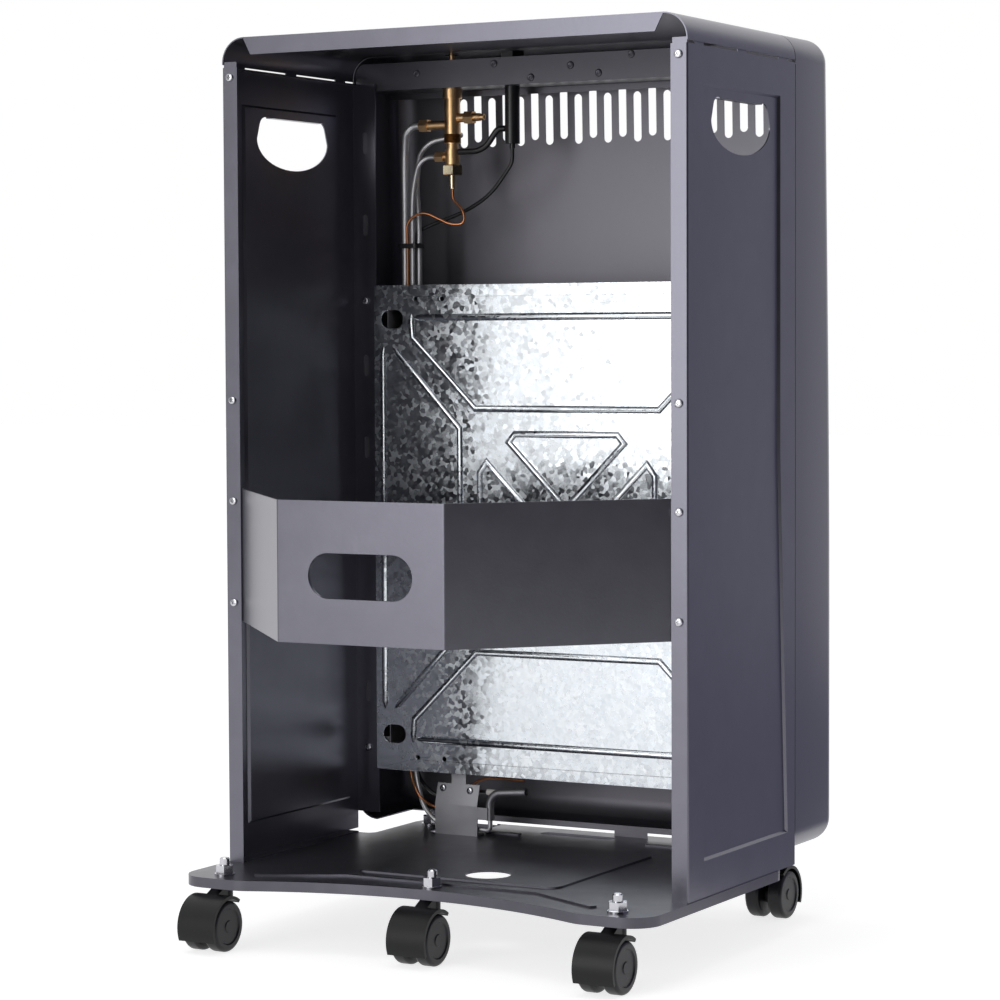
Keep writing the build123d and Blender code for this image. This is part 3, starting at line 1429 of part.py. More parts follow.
with BuildPart() as pilot_burner:
    run_tube(
        [
            (pilot_rod_x, pilot_rod_y, pilot_rod_z),
            (pilot_rod_x, pilot_rod_y, tray_z + pilot_rod_rise),
            (pilot_rod_end_x, pilot_rod_y, tray_z + pilot_rod_rise + 3),
        ],
        pilot_rod_radius,
        pilot_rod_bore,
    )
save(pilot_burner.part, "pilot_burner")

with BuildPart() as spark_electrode:
    with Locations((electrode_x - 9, electrode_y, electrode_z)):
        Cylinder(insulator_radius, 18, rotation=(0, 90, 0))
    with Locations((electrode_x - 24, electrode_y, electrode_z)):
        Cylinder(electrode_radius, 12, rotation=(0, 90, 0))
save(spark_electrode.part, "spark_electrode")

# ---------------------------------------------------------------- screws of the cabinet
with BuildPart() as cabinet_screws:
    rear_spots = [(s * flange_screw_x, z) for s in (-1, 1) for z in rear_screw_zs]
    front_spots = [(s * box_screw_x, z) for s in (-1, 1) for z in box_screw_zs]
    for spots, face_y in ((rear_spots, rear_y), (front_spots, shield_front_y)):
        with Locations([(x, face_y - screw_length / 2, z) for x, z in spots]):
            Cylinder(screw_radius, screw_length, rotation=(90, 0, 0))
        with Locations([(x, face_y + screw_head_height / 2, z) for x, z in spots]):
            Cylinder(screw_head_radius, screw_head_height, rotation=(90, 0, 0))
save(cabinet_screws.part, "cabinet_screws")

# ---------------------------------------------------------------- castors
stem_top_z = tray_z + stem_stand
tray_under_z = tray_z - tray_plate

with BuildPart() as castor_stems:
    with Locations([(x, y, (pivot_end + tray_under_z) / 2) for x, y in stem_spots]):
        Cylinder(pivot_radius, tray_under_z - pivot_end)
    with Locations([(x, y, (tray_under_z + stem_top_z) / 2) for x, y in stem_spots]):
        Cylinder(stem_radius, stem_top_z - tray_under_z)
    collar_z = boss_top + pivot_play
    with BuildSketch(Plane.XY.offset(collar_z)):
        with Locations(stem_spots):
            RegularPolygon(collar_flats / 2, 6, major_radius=False)
    extrude(amount=tray_under_z - collar_z)
    chamfer(castor_stems.faces().filter_by(Axis.Z).sort_by(Axis.Z)[-5:].edges(), collar_chamfer)
save(castor_stems.part, "castor_stems")

with BuildPart() as castor_nuts:
    with BuildSketch(Plane.XY.offset(tray_z)):
        with Locations(stem_spots):
            Circle(washer_radius)
            Circle(stem_radius, mode=Mode.SUBTRACT)
    extrude(amount=washer_thick)
    with BuildSketch(Plane.XY.offset(tray_z + washer_thick)):
        with Locations(stem_spots):
            RegularPolygon(castor_nut_flats / 2, 6, major_radius=False)
            Circle(stem_radius, mode=Mode.SUBTRACT)
    extrude(amount=castor_nut_height)
save(castor_nuts.part, "castor_nuts")

# one castor about its stem, trailing towards +Y, then one copy at each stem
wheel_centre = (castor_trail, wheel_radius)
hood_inner = hood_radius - hood_wall
axle_line = Axis((0, castor_trail, wheel_radius), (1, 0, 0))

with BuildPart() as hood_form:
    # rim over both wheels, in side view: outer and inner arc joined by radial ends
    with BuildSketch(Plane.YZ.offset(-castor_half_width)):
        with BuildLine():
            hood_outer_arc = CenterArc(wheel_centre, hood_radius, hood_start, hood_sweep)
            hood_inner_arc = CenterArc(wheel_centre, hood_inner, hood_start, hood_sweep)
            Line(hood_outer_arc @ 0, hood_inner_arc @ 0)
            Line(hood_outer_arc @ 1, hood_inner_arc @ 1)
        make_face()
    extrude(amount=2 * castor_half_width)
    # swivel boss and the gusset that joins it to the rim
    with Locations((0, 0, (boss_bottom + boss_top) / 2)):
        Cylinder(boss_radius, boss_top - boss_bottom)
    with BuildSketch(Plane.YZ.offset(-hood_gusset)):
        with BuildLine():
            Polyline(
                (0, boss_top),
                (boss_radius, boss_top),
                (castor_trail, wheel_radius + hood_radius),
                (castor_trail, wheel_radius),
                (0, boss_bottom),
                close=True,
            )
        make_face()
    extrude(amount=2 * hood_gusset)
    with Locations((0, castor_trail, wheel_radius)):
        Cylinder(
            hood_inner, 2 * castor_half_width, rotation=(0, 90, 0), mode=Mode.SUBTRACT
        )
    # web between the wheels, with a boss for the axle
    with BuildSketch(Plane.YZ.offset(-web_half)):
        with BuildLine():
            web_arc = CenterArc(wheel_centre, hood_inner + hood_wall / 2, hood_start, hood_sweep)
            Polyline(web_arc @ 1, wheel_centre, web_arc @ 0)
        make_face()
        with Locations(wheel_centre):
            Circle(web_radius)
    extrude(amount=2 * web_half)
    with Locations((0, castor_trail, wheel_radius)):
        Cylinder(axle_radius, 4 * web_half, rotation=(0, 90, 0), mode=Mode.SUBTRACT)
    # pivot bore
    with Locations((0, 0, (pivot_end - pivot_play + boss_top + sheet) / 2)):
        Cylinder(
            pivot_radius + running_clearance,
            boss_top + sheet - pivot_end + pivot_play,
            mode=Mode.SUBTRACT,
        )

with BuildPart() as axle_form:
    with Locations((0, castor_trail, wheel_radius)):
        Cylinder(axle_radius, 2 * axle_half, rotation=(0, 90, 0))

wheel_inner_x = web_half + wheel_side_gap
wheel_outer_x = wheel_inner_x + wheel_width
axle_bore_x = axle_half + axle_end_play
with BuildPart() as wheel_form:
    # half section about the axle: blind bore, rounded tread, dished outer face
    half_plane = Plane(origin=(0, castor_trail, wheel_radius), x_dir=(1, 0, 0), z_dir=(0, -1, 0))
    with BuildSketch(half_plane) as half:
        with BuildLine():
            Polyline(
                (wheel_inner_x, axle_radius + running_clearance),
                (wheel_inner_x, wheel_radius),
                (wheel_outer_x, wheel_radius),
                (wheel_outer_x, wheel_dish_radius),
                (wheel_outer_x - wheel_dish_depth, wheel_dish_radius - wheel_dish_depth),
                (wheel_outer_x - wheel_dish_depth, wheel_hub_radius),
                (wheel_outer_x - 0.3, wheel_hub_radius - 0.7),
                (wheel_outer_x - 0.3, 0),
                (axle_bore_x, 0),
                (axle_bore_x, axle_radius + running_clearance),
                close=True,
            )
        make_face()
        fillet(half.vertices().group_by(Axis.Y)[-1], wheel_shoulder)
    revolve(axis=axle_line)

with BuildPart() as wheel_form_left:
    mirror(wheel_form.part, about=Plane.YZ)

castor_places = {
    "rear_left": (stem_spots[0], 0),
    "rear_centre": (stem_spots[1], 0),
    "rear_right": (stem_spots[2], 0),
    "front_left": (stem_spots[3], 180),
    "front_right": (stem_spots[4], 180),
}
for place, (spot, turn) in castor_places.items():
    with BuildPart() as castor_hood:
        with Locations(Location((*spot, 0), (0, 0, turn))):
            add(hood_form.part)
    save(castor_hood.part, f"hood_{place}")

    with BuildPart() as castor_axle:
        with Locations(Location((*spot, 0), (0, 0, turn))):
            add(axle_form.part)
    save(castor_axle.part, f"axle_{place}")

    forms = (wheel_form_left, wheel_form) if turn else (wheel_form, wheel_form_left)
    for side, form in zip(("right", "left"), forms):
        with BuildPart() as castor_wheel:
            with Locations(Location((*spot, 0), (0, 0, turn))):
                add(form.part)
        save(castor_wheel.part, f"wheel_{place}_{side}")
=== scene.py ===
# %% [markdown]
# # A portable gas cabinet heater, seen from behind
# The heater stands without its rear cover, so the photograph looks into the empty bottle bay:
# a zinc heat shield with pressed beads, a strap that holds the bottle, the brass gas valve with
# its tubes, and five small twin-wheel castors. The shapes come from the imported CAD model, which
# stays exactly where it is. This notebook adds finish, light, a camera and the small hardware.

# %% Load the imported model
import json
from math import cos, pi, radians, sin

import bmesh
import bpy
from mathutils import Matrix, Vector


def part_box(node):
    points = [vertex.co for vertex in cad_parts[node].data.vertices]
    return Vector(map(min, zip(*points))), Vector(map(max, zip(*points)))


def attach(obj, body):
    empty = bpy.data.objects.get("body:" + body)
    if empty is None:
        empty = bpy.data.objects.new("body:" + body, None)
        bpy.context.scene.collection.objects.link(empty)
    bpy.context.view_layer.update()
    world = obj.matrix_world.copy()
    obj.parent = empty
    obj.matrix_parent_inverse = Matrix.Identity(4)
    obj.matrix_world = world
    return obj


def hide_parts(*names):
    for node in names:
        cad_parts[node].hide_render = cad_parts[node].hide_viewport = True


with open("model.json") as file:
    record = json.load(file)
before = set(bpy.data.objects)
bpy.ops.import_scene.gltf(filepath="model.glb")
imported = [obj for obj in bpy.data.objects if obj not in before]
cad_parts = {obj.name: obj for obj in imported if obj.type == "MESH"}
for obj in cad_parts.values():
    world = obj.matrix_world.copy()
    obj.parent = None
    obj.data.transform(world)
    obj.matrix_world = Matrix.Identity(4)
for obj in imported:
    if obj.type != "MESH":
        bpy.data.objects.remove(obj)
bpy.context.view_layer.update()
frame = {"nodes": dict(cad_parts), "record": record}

nodes = frame["nodes"]
scene = bpy.context.scene
millimetre = 0.001

# %% [markdown]
# ## Camera
# The camera was solved from the straight edges of the cabinet. It looks from behind, from the
# side of the left panel, slightly downwards, through a long lens. The rotation is built from
# three axes: where the lens looks, what lies to the right, and what lies above.

# %% Put the camera at the photograph's viewpoint
# metres, radians, and the lens as a multiple of the image's width
camera_place = Vector((-1.1992, 2.1634, 0.4792))
camera_yaw = 0.50477
camera_pitch = -0.05167
camera_roll = -0.0044
lens_over_width = 3.11175
sensor_width = 36.0

looks_along = Vector(
    (
        sin(camera_yaw) * cos(camera_pitch),
        -cos(camera_yaw) * cos(camera_pitch),
        sin(camera_pitch),
    )
)
level_right = looks_along.cross(Vector((0, 0, 1))).normalized()
level_up = level_right.cross(looks_along)
image_right = cos(camera_roll) * level_right + sin(camera_roll) * level_up
image_up = cos(camera_roll) * level_up - sin(camera_roll) * level_right
camera_turn = Matrix((image_right, image_up, -looks_along)).transposed()

camera_data = bpy.data.cameras.new("photo_camera")
camera_data.sensor_width = sensor_width
camera_data.lens = lens_over_width * sensor_width
camera_data.clip_end = 50
camera = bpy.data.objects.new("photo_camera", camera_data)
camera.matrix_world = Matrix.Translation(camera_place) @ camera_turn.to_4x4()
scene.collection.objects.link(camera)
scene.camera = camera
print("camera lens", round(camera_data.lens, 1), "mm")

# %% [markdown]
# ## Light
# A product studio. The page behind the heater is white, and shiny surfaces see that white as
# well. The paint and the zinc show the room as much as their own colour, so the room is built
# like a real one. A tall soft lamp to the left of the camera gives the bright stripes, and a
# square one overhead lights the whole set. Grey boards round it keep the white off the other
# folds. They are stage pieces that only reflections see, so they neither hide the heater nor
# tint the floor.

# %% Helpers that wire shader nodes
def link(tree, source, target):
    """Join two sockets of a node tree."""
    tree.links.new(source, target)


def feed(tree, value, target):
    """Join a socket to target, or write a number, a vector or a colour on target."""
    if isinstance(value, bpy.types.NodeSocket):
        link(tree, value, target)
    elif target.type == "RGBA":
        target.default_value = (*value, 1)
    else:
        target.default_value = value


def calculate(tree, operation, first, second):
    """A math node; each input is a socket or a number."""
    node = tree.nodes.new("ShaderNodeMath")
    node.operation = operation
    feed(tree, first, node.inputs[0])
    feed(tree, second, node.inputs[1])
    return node.outputs["Value"]


def sees_page(tree):
    """One for camera, glossy and transmission rays, nought for the others."""
    rays = tree.nodes.new("ShaderNodeLightPath").outputs
    seen = calculate(tree, "MAXIMUM", rays["Is Camera Ray"], rays["Is Glossy Ray"])
    return calculate(tree, "MAXIMUM", seen, rays["Is Transmission Ray"])


# %% Give the room its white page
room_tone = (0.42, 0.42, 0.43)
page_white = (1, 1, 1)

scene.view_settings.view_transform = "Standard"
world = bpy.data.worlds.new("studio")
scene.world = world
world.use_nodes = True
room = world.node_tree
room.nodes.clear()


def background(colour):
    """A background of one colour for the room."""
    shader = room.nodes.new("ShaderNodeBackground")
    feed(room, colour, shader.inputs["Color"])
    return shader.outputs["Background"]


choose = room.nodes.new("ShaderNodeMixShader")
link(room, sees_page(room), choose.inputs["Fac"])
link(room, background(room_tone), choose.inputs[1])
link(room, background(page_white), choose.inputs[2])
room_out = room.nodes.new("ShaderNodeOutputWorld")
link(room, choose.outputs["Shader"], room_out.inputs["Surface"])
print("the room has", len(room.nodes), "nodes")


# %% Hang the soft lamps
def soft_light(name, place, aim, size, power):
    """A rectangular lamp at place that faces aim; size is its width and height."""
    lamp = bpy.data.lights.new(name, "AREA")
    lamp.shape = "RECTANGLE"
    lamp.size = size[0]
    lamp.size_y = size[1]
    lamp.energy = power
    holder = bpy.data.objects.new(name, lamp)
    holder.location = place
    holder.rotation_euler = (Vector(aim) - Vector(place)).to_track_quat("-Z", "Y").to_euler()
    scene.collection.objects.link(holder)
    print(name, "of", power, "W at", place)


soft_light(
    "tall_soft_light", place=(0.88, 2.9, 1.15), aim=(0.88, 0, 1.15), size=(1.2, 2.1), power=22
)
soft_light("top_light", place=(0.0, 0.4, 2.6), aim=(0, 0, 0.38), size=(1.6, 1.6), power=12)


# %% Stand the grey boards round the set
def object_from(form, name, material):
    """An object at the origin in one material; the form is used up."""
    mesh = bpy.data.meshes.new(name)
    form.to_mesh(mesh)
    form.free()
    mesh.materials.append(material)
    made = bpy.data.objects.new(name, mesh)
    scene.collection.objects.link(made)
    return made


def verts_in(geometry):
    """The vertices among the elements that an operator returns."""
    return [item for item in geometry if isinstance(item, bmesh.types.BMVert)]


def hang(form, name, grey, blue):
    """A stage piece that glows a dull grey in reflections; blue multiplies its blue."""
    glow = bpy.data.materials.new(name)
    glow.use_nodes = True
    tree = glow.node_tree
    tree.nodes.clear()
    emit = tree.nodes.new("ShaderNodeEmission")
    feed(tree, (grey, grey, blue * grey), emit.inputs["Color"])
    leave = tree.nodes.new("ShaderNodeOutputMaterial")
    link(tree, emit.outputs["Emission"], leave.inputs["Surface"])
    hung = object_from(form, name, glow)
    hung.visible_camera = False
    hung.visible_diffuse = False
    hung.visible_shadow = False
    print(name, "glows", grey)


def board(name, start, end, height, grey, blue=1.0):
    """An upright board that stands on the floor from start to end."""
    form = bmesh.new()
    foot = form.edges.new([form.verts.new((*spot, 0)) for spot in (start, end)])
    raised = bmesh.ops.extrude_edge_only(form, edges=[foot])["geom"]
    bmesh.ops.translate(form, verts=verts_in(raised), vec=(0, 0, height))
    hang(form, name, grey, blue)


cool_blue = 1.35
board("board_beyond_lamp", start=(2.0, 2.95), end=(3.4, 1.6), height=2.2, grey=0.45)
board("board_right_of_camera", start=(-1.0, 2.9), end=(-2.6, 0.1), height=2.6, grey=0.01)
board(
    "board_far_right", start=(-1.6, 0.1), end=(-0.75, -1.9), height=2.4, grey=0.27, blue=cool_blue
)

# without the mat, the floor beside the heater would shine up at the lower side panel
mat_half = 0.85
mat_place = (-1.12, -1.05, 4 * millimetre)
mat = bmesh.new()
bmesh.ops.create_grid(mat, x_segments=1, y_segments=1, size=mat_half)
bmesh.ops.translate(mat, verts=mat.verts, vec=mat_place)
hang(mat, "mat_beside_heater", grey=0.26, blue=cool_blue)

# %% [markdown]
# ## Floor
# A pale floor carries the shadow. Where the camera or a reflection sees it, it also glows a
# little, so that the open floor reaches the white of the page while the shade under the wheels
# stays visible.

# %% Lay the floor
floor_half = 12
floor_tone = (0.52, 0.52, 0.52)
floor_roughness = 0.9
open_floor_glow = 0.76


def new_material(name):
    """A new material with its node tree and its Principled shader."""
    material = bpy.data.materials.new(name)
    material.use_nodes = True
    return material, material.node_tree, material.node_tree.nodes["Principled BSDF"]


floor_finish, floor_tree, floor_shader = new_material("pale_floor")
feed(floor_tree, floor_tone, floor_shader.inputs["Base Color"])
feed(floor_tree, floor_roughness, floor_shader.inputs["Roughness"])
floor_glow = floor_tree.nodes.new("ShaderNodeEmission")
floor_strength = calculate(floor_tree, "MULTIPLY", sees_page(floor_tree), open_floor_glow)
link(floor_tree, floor_strength, floor_glow.inputs["Strength"])
floor_sum = floor_tree.nodes.new("ShaderNodeAddShader")
link(floor_tree, floor_shader.outputs["BSDF"], floor_sum.inputs[0])
link(floor_tree, floor_glow.outputs["Emission"], floor_sum.inputs[1])
floor_out = floor_tree.nodes["Material Output"]
link(floor_tree, floor_sum.outputs["Shader"], floor_out.inputs["Surface"])

floor_form = bmesh.new()
bmesh.ops.create_grid(floor_form, x_segments=1, y_segments=1, size=floor_half)
floor = object_from(floor_form, "floor", floor_finish)
print("the floor is", 2 * floor_half, "m wide")

# %% [markdown]
# ## Shared effects
# Powder coat is never quite flat: it has a fine orange peel. Every surface also collects a
# little dust and handling. Both effects are used by several finishes, so each is a node group,
# built once, that puts out a height or a mask.

# %% Helpers for node groups and patterns
def new_group(name, inputs, output):
    """A node group with float inputs (name: default) and one float output.

    Returns the group, the sockets inside it that hold its inputs, and the one for its output.
    """
    group = bpy.data.node_groups.new(name, "ShaderNodeTree")
    for label, default in inputs.items():
        socket = group.interface.new_socket(label, in_out="INPUT", socket_type="NodeSocketFloat")
        socket.default_value = default
    group.interface.new_socket(output, in_out="OUTPUT", socket_type="NodeSocketFloat")
    entry = group.nodes.new("NodeGroupInput")
    leave = group.nodes.new("NodeGroupOutput")
    return group, entry.outputs, leave.inputs[output]


def place_on_object(tree):
    """The place on the piece, in its own coordinates."""
    return tree.nodes.new("ShaderNodeTexCoord").outputs["Object"]


def noise(tree, place, scale, detail):
    """A noise texture at that place; scale is a socket or a number."""
    texture = tree.nodes.new("ShaderNodeTexNoise")
    feed(tree, place, texture.inputs["Vector"])
    feed(tree, scale, texture.inputs["Scale"])
    feed(tree, detail, texture.inputs["Detail"])
    return texture.outputs["Fac"]


def grade(tree, value, stops):
    """A colour ramp fed by a value, with two stops of (position, colour)."""
    ramp = tree.nodes.new("ShaderNodeValToRGB")
    for element, (position, colour) in zip(ramp.color_ramp.elements, stops):
        element.position = position
        element.color = (*colour, 1)
    link(tree, value, ramp.inputs["Fac"])
    return ramp.outputs["Color"]


# %% Orange peel, as a node group
grit_share = 0.35
peel, peel_in, peel_out = new_group(
    "orange_peel", {"Peel Size": 420.0, "Grit Size": 2400.0}, "Height"
)
peel_place = place_on_object(peel)
waves = noise(peel, peel_place, peel_in["Peel Size"], detail=1.0)
grit = noise(peel, peel_place, peel_in["Grit Size"], detail=2.0)
peel_height = calculate(peel, "ADD", waves, calculate(peel, "MULTIPLY", grit, grit_share))
link(peel, peel_height, peel_out)
print("node group", peel.name, "has", len(peel.nodes), "nodes")

# %% Handling marks, as a node group
smear_scale = 55.0
clean_level = 0.12
marked_level = 0.42
handling, handling_in, handling_out = new_group(
    "handling_marks", {"Patch Size": 9.0, "Amount": 0.5}, "Mask"
)
handling_place = place_on_object(handling)
patches = noise(handling, handling_place, handling_in["Patch Size"], detail=4.0)
smears = noise(handling, handling_place, smear_scale, detail=5.0)
contrast = handling.nodes.new("ShaderNodeMapRange")
feed(handling, clean_level, contrast.inputs["From Min"])
feed(handling, marked_level, contrast.inputs["From Max"])
link(handling, calculate(handling, "MULTIPLY", patches, smears), contrast.inputs["Value"])
amount = calculate(handling, "MULTIPLY", contrast.outputs["Result"], handling_in["Amount"])
link(handling, amount, handling_out)
print("node group", handling.name, "has", len(handling.nodes), "nodes")

# %% [markdown]
# ## Finishes
# Each finish is a material with its own Principled shader. A helper makes the shader and wires
# the shared groups: marks change the roughness and the colour a little, and the peel feeds a
# bump. Values differ for each finish.

# %% A helper for painted, plastic and metal finishes
def mix(tree, kind, mask, first, second):
    """A Mix node of kind FLOAT or RGBA, which goes from first to second with the mask."""
    node = tree.nodes.new("ShaderNodeMix")
    node.data_type = kind
    # the node holds a set of sockets for every kind of data
    first_input, result = {"FLOAT": (2, 0), "RGBA": (6, 2)}[kind]
    link(tree, mask, node.inputs[0])
    feed(tree, first, node.inputs[first_input])
    feed(tree, second, node.inputs[first_input + 1])
    return node.outputs[result]


def between(tree, mask, low, high):
    """A value between low and high, chosen by mask."""
    node = tree.nodes.new("ShaderNodeMapRange")
    feed(tree, low, node.inputs["To Min"])
    feed(tree, high, node.inputs["To Max"])
    link(tree, mask, node.inputs["Value"])
    return node.outputs["Result"]


relief_depth = 0.4 * millimetre
coat_roughness = 0.2
worn_gain = 1.25
worn_lift = 0.004


def finish(
    name,
    colour,
    metal=0.0,
    roughness=(0.35, 0.5),
    marks=0.5,
    patch=9.0,
    bump=0.08,
    peel_size=420.0,
    coat=0.0,
    specular=0.5,
):
    """A material with handling marks in colour and roughness and a fine surface relief."""
    material, tree, shader = new_material(name)
    feed(tree, metal, shader.inputs["Metallic"])
    feed(tree, specular, shader.inputs["Specular IOR Level"])
    feed(tree, coat, shader.inputs["Coat Weight"])
    feed(tree, coat_roughness, shader.inputs["Coat Roughness"])
    mark = tree.nodes.new("ShaderNodeGroup")
    mark.node_tree = handling
    feed(tree, patch, mark.inputs["Patch Size"])
    feed(tree, marks, mark.inputs["Amount"])
    mask = mark.outputs["Mask"]
    worn = tuple(min(1.0, channel * worn_gain + worn_lift) for channel in colour)
    link(tree, mix(tree, "RGBA", mask, colour, worn), shader.inputs["Base Color"])
    link(tree, between(tree, mask, *roughness), shader.inputs["Roughness"])
    relief = tree.nodes.new("ShaderNodeGroup")
    relief.node_tree = peel
    feed(tree, peel_size, relief.inputs["Peel Size"])
    lift = tree.nodes.new("ShaderNodeBump")
    feed(tree, bump, lift.inputs["Strength"])
    feed(tree, relief_depth, lift.inputs["Distance"])
    link(tree, relief.outputs["Height"], lift.inputs["Height"])
    link(tree, lift.outputs["Normal"], shader.inputs["Normal"])
    return material


# %% Paints and plastics
cabinet_paint = finish(
    "cabinet_paint", (0.158, 0.156, 0.186), metal=0.90, roughness=(0.28, 0.36), marks=0.35
)
casing_paint = finish(
    "casing_paint", (0.185, 0.180, 0.203), metal=0.80, roughness=(0.44, 0.56), marks=0.35
)
rail_paint = finish(
    "rail_paint", (0.110, 0.108, 0.124), metal=0.75, roughness=(0.36, 0.48), marks=0.6, patch=12.0
)
tray_paint = finish(
    "tray_paint", (0.105, 0.102, 0.122), metal=0.86, roughness=(0.30, 0.42), marks=0.6, patch=14.0
)
castor_plastic = finish(
    "castor_plastic", (0.006, 0.006, 0.007), roughness=(0.36, 0.5), peel_size=700.0, specular=0.3
)
disc_plastic = finish(
    "disc_plastic", (0.012, 0.012, 0.016), roughness=(0.34, 0.5), peel_size=700.0, specular=0.35
)
black_plastic = finish("black_plastic", (0.014, 0.014, 0.017), roughness=(0.28, 0.45))
black_sleeve = finish("black_sleeve", (0.012, 0.012, 0.014), roughness=(0.3, 0.45), bump=0.15)
print("materials so far:", len(bpy.data.materials))

# %% Small metals and the glazed insulator
brass = finish(
    "brass", (0.76, 0.49, 0.25), metal=1.0, roughness=(0.28, 0.44), marks=0.8, patch=60.0
)
polished_brass = finish(
    "polished_brass", (0.84, 0.72, 0.50), metal=1.0, roughness=(0.14, 0.26), marks=0.5, patch=60.0
)
dark_brass = finish(
    "dark_brass", (0.26, 0.15, 0.06), metal=1.0, roughness=(0.34, 0.5), marks=0.8, patch=60.0
)
tube_alloy = finish(
    "tube_alloy", (0.62, 0.62, 0.64), metal=0.8, roughness=(0.42, 0.55), marks=0.6, patch=30.0
)
copper = finish("copper", (0.50, 0.20, 0.09), metal=1.0, roughness=(0.3, 0.45), patch=40.0)
bright_zinc = finish(
    "bright_zinc", (0.50, 0.50, 0.53), metal=1.0, roughness=(0.14, 0.28), patch=80.0
)
bare_steel = finish(
    "bare_steel", (0.28, 0.28, 0.30), metal=0.9, roughness=(0.38, 0.55), marks=0.9, patch=20.0
)
chrome_wire = finish("chrome_wire", (0.82, 0.82, 0.84), metal=1.0, roughness=(0.08, 0.18))
glazed = finish("glazed_insulator", (0.80, 0.78, 0.74), roughness=(0.15, 0.25), coat=0.5)
print("materials so far:", len(bpy.data.materials))

# %% [markdown]
# ## The casing, dull inside
# Powder is sprayed from outside, so the inside of the front casing only gets a thin dry dust of
# it. The casing is one piece of sheet, and both faces need their own gloss and tone. The outside
# faces away from the bay, so the side of the sheet is told by where its surface points.

# %% Paint that is dull on the side that faces the bottle bay
towards_bay = 0.6
outside_roughness = 0.31
outside_tone = (0.155, 0.153, 0.184)

casing_tree = casing_paint.node_tree
casing_shader = casing_tree.nodes["Principled BSDF"]
pointing = casing_tree.nodes.new("ShaderNodeTexCoord").outputs["Normal"]
across = casing_tree.nodes.new("ShaderNodeSeparateXYZ")
link(casing_tree, pointing, across.inputs["Vector"])
faces_bay = calculate(casing_tree, "GREATER_THAN", across.outputs["Y"], towards_bay)
for socket_name, kind, outside in (
    ("Roughness", "FLOAT", outside_roughness),
    ("Base Color", "RGBA", outside_tone),
):
    target = casing_shader.inputs[socket_name]
    inside = target.links[0].from_socket
    link(casing_tree, mix(casing_tree, kind, faces_bay, outside, inside), target)
print("casing paint has", len(casing_tree.nodes), "nodes")

# %% [markdown]
# ## Spangled zinc
# The heat shield is hot-dip galvanised steel. The zinc froze in crystals a few millimetres
# across, and each crystal tilts its surface slightly, so each one mirrors another part of the
# room. A Voronoi texture gives the crystals: its random colour tilts the normal, shades the
# metal, and makes some crystals shiny and others frosted.

# %% Zinc for the heat shield
crystals_per_metre = 280.0
crystal_tilt = 0.04
cloud_scale = 26.0
dark_crystal = (0.62, 0.66, 0.70)
bright_crystal = (0.75, 0.78, 0.81)
shiny = 0.10
frosted = 0.56


def vector_math(tree, operation, *values):
    """A vector math node; each input is a socket or a vector."""
    node = tree.nodes.new("ShaderNodeVectorMath")
    node.operation = operation
    for socket, value in zip(node.inputs, values):
        feed(tree, value, socket)
    return node.outputs["Vector"]


def voronoi(tree, scale, randomness):
    """The outputs of a Voronoi texture on the piece."""
    cells = tree.nodes.new("ShaderNodeTexVoronoi")
    feed(tree, scale, cells.inputs["Scale"])
    feed(tree, randomness, cells.inputs["Randomness"])
    link(tree, place_on_object(tree), cells.inputs["Vector"])
    return cells.outputs


zinc, zinc_tree, zinc_shader = new_material("spangled_zinc")
feed(zinc_tree, 1.0, zinc_shader.inputs["Metallic"])
crystals = voronoi(zinc_tree, crystals_per_metre, randomness=1.0)
parts = zinc_tree.nodes.new("ShaderNodeSeparateColor")
link(zinc_tree, crystals["Color"], parts.inputs["Color"])
clouds = noise(zinc_tree, place_on_object(zinc_tree), cloud_scale, detail=4.0)
shade_mask = calculate(zinc_tree, "MULTIPLY", parts.outputs["Red"], clouds)
shade = grade(zinc_tree, shade_mask, [(0.05, dark_crystal), (0.6, bright_crystal)])
link(zinc_tree, shade, zinc_shader.inputs["Base Color"])
frost_mask = calculate(zinc_tree, "MULTIPLY", parts.outputs["Green"], clouds)
link(zinc_tree, between(zinc_tree, frost_mask, shiny, frosted), zinc_shader.inputs["Roughness"])

lean = vector_math(zinc_tree, "SUBTRACT", crystals["Color"], (0.5, 0.5, 0.5))
lean = vector_math(zinc_tree, "MULTIPLY", lean, (crystal_tilt, crystal_tilt, crystal_tilt))
facing = zinc_tree.nodes.new("ShaderNodeNewGeometry").outputs["Normal"]
tilted = vector_math(zinc_tree, "ADD", facing, lean)
link(zinc_tree, vector_math(zinc_tree, "NORMALIZE", tilted), zinc_shader.inputs["Normal"])
print("zinc has", len(zinc_tree.nodes), "nodes")

# %% [markdown]
# ## Ceramic plaques
# The three burners glow through ceramic blocks with thousands of small holes. The holes are far
# too many to model, so they are a pattern: a grid of dark dots, worked out from the place on the
# plaque, that also presses the surface in.

# %% Perforated ceramic
holes_per_metre = 420.0
hole_depth = 0.8 * millimetre
press_strength = 0.6
hole_tone = (0.10, 0.075, 0.06)
ceramic_tone = (0.72, 0.66, 0.58)
ceramic_roughness = 0.85

ceramic, ceramic_tree, ceramic_shader = new_material("perforated_ceramic")
feed(ceramic_tree, ceramic_roughness, ceramic_shader.inputs["Roughness"])
from_hole = voronoi(ceramic_tree, holes_per_metre, randomness=0.0)["Distance"]
dots = grade(ceramic_tree, from_hole, [(0.26, hole_tone), (0.36, ceramic_tone)])
link(ceramic_tree, dots, ceramic_shader.inputs["Base Color"])
pressed = ceramic_tree.nodes.new("ShaderNodeBump")
feed(ceramic_tree, press_strength, pressed.inputs["Strength"])
feed(ceramic_tree, hole_depth, pressed.inputs["Distance"])
link(ceramic_tree, from_hole, pressed.inputs["Height"])
link(ceramic_tree, pressed.outputs["Normal"], ceramic_shader.inputs["Normal"])
print("ceramic has", len(ceramic_tree.nodes), "nodes")

